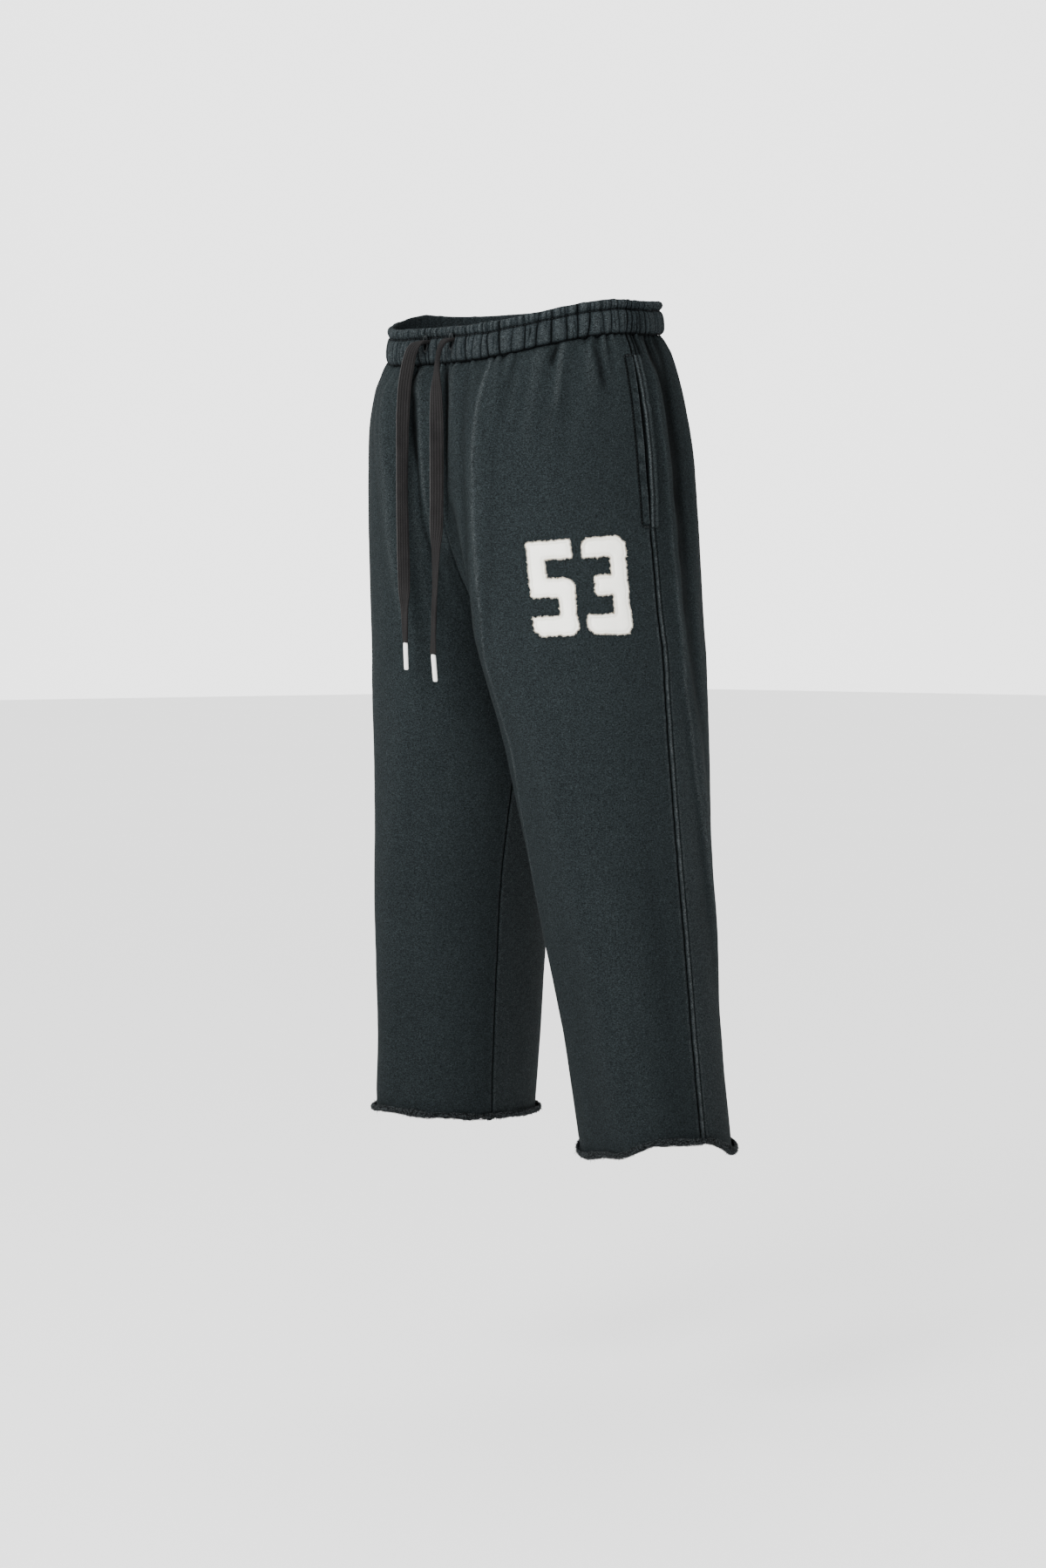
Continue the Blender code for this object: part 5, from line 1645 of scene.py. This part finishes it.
def felt_mesh(name, rim, seed):
    """Flat points of a numeral, their distance from its edge, and its triangles."""
    low, high = rim.min(axis=0), rim.max(axis=0)
    across, down = FELT_SPACING, FELT_SPACING * 0.87
    gx, gy = np.meshgrid(np.arange(low[0], high[0], across), np.arange(low[1], high[1], down))
    gx = gx + (np.arange(gx.shape[0]) % 2 * FELT_SPACING / 2)[:, None]
    inner = np.stack([gx.ravel(), gy.ravel()], -1)
    coarse, _ = outline_points(name, 1.6 * MM, 1.0, seed)
    inner = inner[inside_of(coarse, inner)]
    away = edge_distance(coarse, inner)
    inner, away = inner[away > FELT_RIM], away[away > FELT_RIM]
    edges = [(k, (k + 1) % len(rim)) for k in range(len(rim))]
    scaled = [Vector(p) for p in np.concatenate([rim, inner]) * IN_MILLIMETRES]
    made = geometry.delaunay_2d_cdt(scaled, edges, [], 1, 1e-6)
    flat = np.array([v[:] for v in made[0]]) / IN_MILLIMETRES
    source = np.array([s[0] if s else 0 for s in made[3]])
    return flat, np.concatenate([np.zeros(len(rim)), away])[source], made[2]


def felt_faces(flat, triangles):
    """Faces of the top, of the foot and round the rim, and the numeral's area."""
    count = len(flat)
    area = 0
    faces = []
    used = {}
    for f in triangles:
        a, b, c = (flat[k] for k in f)
        turn = (b[0] - a[0]) * (c[1] - a[1]) - (b[1] - a[1]) * (c[0] - a[0])
        f = list(f) if turn < 0 else list(f)[::-1]
        faces += [f, [k + count for k in f[::-1]]]
        used.update(dict.fromkeys(zip(f, f[1:] + f[:1])))
        area += abs(turn) / 2
    faces += [[q, p, p + count, q + count] for p, q in used if (q, p) not in used]
    return faces, float(area)


def add_fuzz(name, left_edge, rim, out, seed):
    """Three loose fibres at each point of a numeral's edge."""
    pick = np.arange(len(rim) * 3) // 3
    draw, other, third = (hashed(np.arange(len(pick)), seed + k)[:, None] for k in (11, 12, 13))
    start = rim[pick] + out[pick] * (-0.25 * MM)
    foot, n = on_numeral(left_edge, start)
    stray = out[pick] * MM + np.roll(out[pick], 1, axis=1) * (draw * 0.9 * MM)
    end, _ = on_numeral(left_edge, start + stray)
    roots = foot + n * (LYING_GAP + (0.2 + 0.9 * np.abs(other)) * MM)
    ways = end - foot + n * (third * 0.35 * MM)
    lengths = (0.7 + 1.9 * np.abs(third[:, 0]) ** 2) * MM
    bend = n * other * 0.5 + unit(ways)[:, [1, 2, 0]] * draw * 0.4
    return fibres(f"{name}_fuzz", roots, ways, lengths, FUZZ_RADIUS, bend, FELT_FIBRE)


def add_numeral(name, left_edge, seed):
    rim, out = outline_points(name, 0.8 * MM, 1.0, seed)
    flat, distance, triangles = felt_mesh(name, rim, seed)
    base, n = on_numeral(left_edge, flat)
    solid = np.concatenate([flat, 0 * flat[:, :1]], 1)
    crown = NUMERAL_THICKNESS * (0.55 + 0.45 * smooth(distance / (1.0 * MM)))
    groove = -0.85 * MM * bump_at(distance, SEWN_GROOVE, 1.3 * MM)
    puff = 0.35 * MM * smooth((distance - 2.6 * MM) / (4 * MM))
    uneven = noise1(flat[:, 0] / (4 * MM) + flat[:, 1] / (5 * MM), seed + 7)
    lip = 0.35 * MM * bump_at(distance, 0.9 * MM, 1.2 * MM) * uneven
    wave = 0.28 * MM * noise3(solid, 13 * MM, seed + 3)
    top = base + n * (LYING_GAP + crown + groove + puff + lip + wave)[:, None]
    foot = base + n * (LYING_GAP * 0.5)
    faces, area = felt_faces(flat, triangles)
    # tan rim: frayed felt, and painted shade at the cut edge
    frayed_and_shaded_rim = bump_at(distance, 0, 1.7 * MM) * (0.75 + 0.35 * noise3(solid, 3 * MM, seed + 5))
    # painted shade in the sewn groove
    wear = np.concatenate([frayed_and_shaded_rim + 0.16 * bump_at(distance, SEWN_GROOVE, 1.2 * MM), np.ones(len(flat))])
    points = np.concatenate([top, foot])
    piece = mesh_object(f"{name}_felt", points, faces, [FELT], {"wear": wear}, stands_for=name)
    fuzz = add_fuzz(name, left_edge, rim, out, seed)
    sewn, _ = outline_points(name, 0.5 * MM, 0.3, seed)
    line, facing = on_numeral(left_edge, eased_loop(sewn - out_of(sewn) * SEWN_IN, SEWN_ROUNDS))
    run = (line + facing * (LYING_GAP + NUMERAL_THICKNESS - 0.25 * MM), facing)
    sewing = stitches(f"{name}_stitches", [run], FELT_THREAD, 2.6 * MM, 0.24 * MM)


add_numeral("numeral_5", -NUMERAL_SPACE / 2 - NUMERAL_WIDTH, 80)
add_numeral("numeral_3", NUMERAL_SPACE / 2, 90)

# ---------------------------------------------------------------- hem fray
FRAY_COUNT = 2600  # loose fibres on a panel's edge
FRAY_RADIUS = 0.27 * MM
FRAY_LENGTH = (0.9, 1.4)  # least length in millimetres, and how much longer some are


def add_fray(leg, half):
    """Loose pile and thread ends round a panel's rolled raw edge."""
    panel = PANELS[leg, half]
    order = np.arange(FRAY_COUNT)
    seed = 101 + QUARTERS[leg, half] * 7
    turn, aside, droop, reach, rare, bent = (hashed(order, seed + k)[:, None] for k in range(1, 7))
    arc = panel.across[-1]
    place = np.interp((order + 0.5) / FRAY_COUNT * arc[-1], arc, np.arange(len(arc)))
    curl = read_rows(place, np.arange(len(arc)), panel.curl)
    centre, out, down, radius = np.split(curl, (3, 6, 9), axis=1)
    out, down = unit(out), unit(down)
    angle = np.radians(20 + 210 * np.abs(turn))
    rise = -out * np.cos(angle) + down * np.sin(angle)
    side = unit(np.cross(out, down))
    ways = rise + side * (0.9 * aside) + down * (0.35 * droop)
    long = (FRAY_LENGTH[0] + FRAY_LENGTH[1] * np.abs(reach) ** 2) * MM
    long = np.where(np.abs(rare) > 0.985, long * 2.2, long)[:, 0]
    bend = side * (0.7 * bent) + down * 0.35
    roots = centre + rise * (radius - 0.15 * MM)
    return fibres(f"{half}_{leg}_fray", roots, ways, long, FRAY_RADIUS, bend, FRAY)


FRAYS = {key: add_fray(*key) for key in PANELS}

# ---------------------------------------------------------------- sewing
TACK_POINTS = 12
TACK_ROWS = (-0.45, 0.0, 0.45)  # of a tack, in millimetres up and down from its middle
SATIN_STITCHES = 60
# Inner and outer ring of a buttonhole's stitches: half width, half height and depth in millimetres.
SATIN_RINGS = ((2.0, 6.4, -0.2), (3.9, 8.4, 0.4))
BUTTONHOLE_HEIGHT = 0.57  # the row of the band, as a height share, that it lies against


def add_panel_sewing(leg, half):
    """Topstitching behind the side seam, or the pocket mouth's row and the tacks at its ends."""
    panel = PANELS[leg, half]
    runs = []
    if half == "back":
        first = POCKET_FOOT + 3 * MM
        runs.append(panel.line((TOPSTITCH + GROOVE) * MM, first, SIDE_LENGTH - 4 * MM))
    else:
        runs.append(panel.line((MOUTH_STITCH + GROOVE) * MM, POCKET_TOP + 1 * MM, POCKET_FOOT))
        for end in (POCKET_TOP + 1 * MM, POCKET_FOOT - 1 * MM):
            drop = np.full(TACK_POINTS, end)
            u = u_at(leg, half, drop, np.linspace(0.8, MOUTH_STITCH, TACK_POINTS) * MM)
            n = outward(leg, half, u, drop)
            runs += [(panel.read(u, drop + shift * MM) + n * 0.15 * MM, n) for shift in TACK_ROWS]
    return stitches(f"{half}_{leg}_stitches", runs, THREAD)


def add_buttonhole(number, x, z):
    """Satin-stitched ring of a buttonhole, upright on the band."""
    ring = band_at(BUTTONHOLE_HEIGHT)
    depth = ring[(ring[:, 1] < 0) & (np.abs(ring[:, 0] - x * MM) < 12 * MM), 1].min()
    turn = np.linspace(0, 2 * math.pi, SATIN_STITCHES)
    rings = []
    for wide, tall, back in SATIN_RINGS:
        across, up = x * MM + wide * MM * np.cos(turn), z * MM + tall * MM * np.sin(turn)
        rings.append(np.stack([across, np.full(SATIN_STITCHES, depth + back * MM), up], -1))
    facing = np.tile([0.0, -1.0, 0.0], (2, 1))
    runs = [(np.stack(ends), facing) for ends in zip(*rings)]
    return stitches(f"buttonhole_{number}_stitches", runs, THREAD, 4 * MM, 0.3 * MM, 1.0)


SEWN = {key: add_panel_sewing(*key) for key in PANELS}
band_run = band_line(BAND_SEAM, 0.1 * MM)
band_sewing = stitches("waistband_stitches", [band_run], THREAD, 3.4 * MM, 0.26 * MM)
BUTTONHOLES = [add_buttonhole(number, x, z) for number, (x, z) in enumerate(EYELETS)]

# ---------------------------------------------------------------- floor and light
FLOOR_HEIGHT = -1.06
FLOOR_SIZE = 30
# Where the surround is darkest and where it is a little darker again: the azimuth, how far towards it
# the change starts and ends, and the brightness there.
WORLD_SIDES = ((122, -0.2, 1, 3.1, 0.5), (300, 0.42, 1, 1, 0.5))
# Name, azimuth, height, distance, size and power of each light.
LIGHTS = (("key", 22, 1.5, 3.3, 1.2, 120), ("side_left", -10, 0.9, 3.4, 1.4, 18))
LIGHT_AIM = (0, 0, -0.4)


def add_floor():
    mesh = bpy.data.meshes.new("floor")
    corners = [(x * FLOOR_SIZE, y * FLOOR_SIZE, 0) for x, y in ((-1, -1), (1, -1), (1, 1), (-1, 1))]
    mesh.from_pydata(corners, [], [(0, 1, 2, 3)])
    n = Finish("pale_floor", 0.8, 0, (1, 1, 1), 0.2)
    colour = n.mix(n.noise(0.8, 2), (0.90, 0.90, 0.895), (0.92, 0.92, 0.92))
    mesh.materials.append(n.finish(colour, n.noise(40, 2), 0.02, 1 * MM))
    floor = bpy.data.objects.new("floor", mesh)
    floor.location.z = FLOOR_HEIGHT
    bpy.context.scene.collection.objects.link(floor)


def add_light(name, azimuth, height, distance, size, watts):
    data = bpy.data.lights.new(name, "AREA")
    data.shape = "SQUARE"
    data.size = size
    data.energy = watts
    light = bpy.data.objects.new(name, data)
    light.location = around(azimuth, distance, height)
    light.rotation_euler = (Vector(LIGHT_AIM) - light.location).to_track_quat("-Z", "Y").to_euler()
    bpy.context.scene.collection.objects.link(light)


def add_world():
    """Bright studio surround, darker towards one side."""
    world = bpy.data.worlds.new("studio")
    world.use_nodes = True
    n = Nodes(world.node_tree, "Generated")
    levels = []
    for azimuth, *ends in WORLD_SIDES:
        way = around(azimuth)
        towards = n.add("ShaderNodeVectorMath", {"operation": "DOT_PRODUCT"}, i0=n.place, i1=way)
        levels.append(n.ranged(towards.outputs["Value"], *ends))
    background = n.tree.nodes["Background"]
    background.inputs["Color"].default_value = (1, 1, 1, 1)
    n.tree.links.new(n.product(*levels), background.inputs["Strength"])
    bpy.context.scene.world = world


add_floor()
for row in LIGHTS:
    add_light(*row)
add_world()
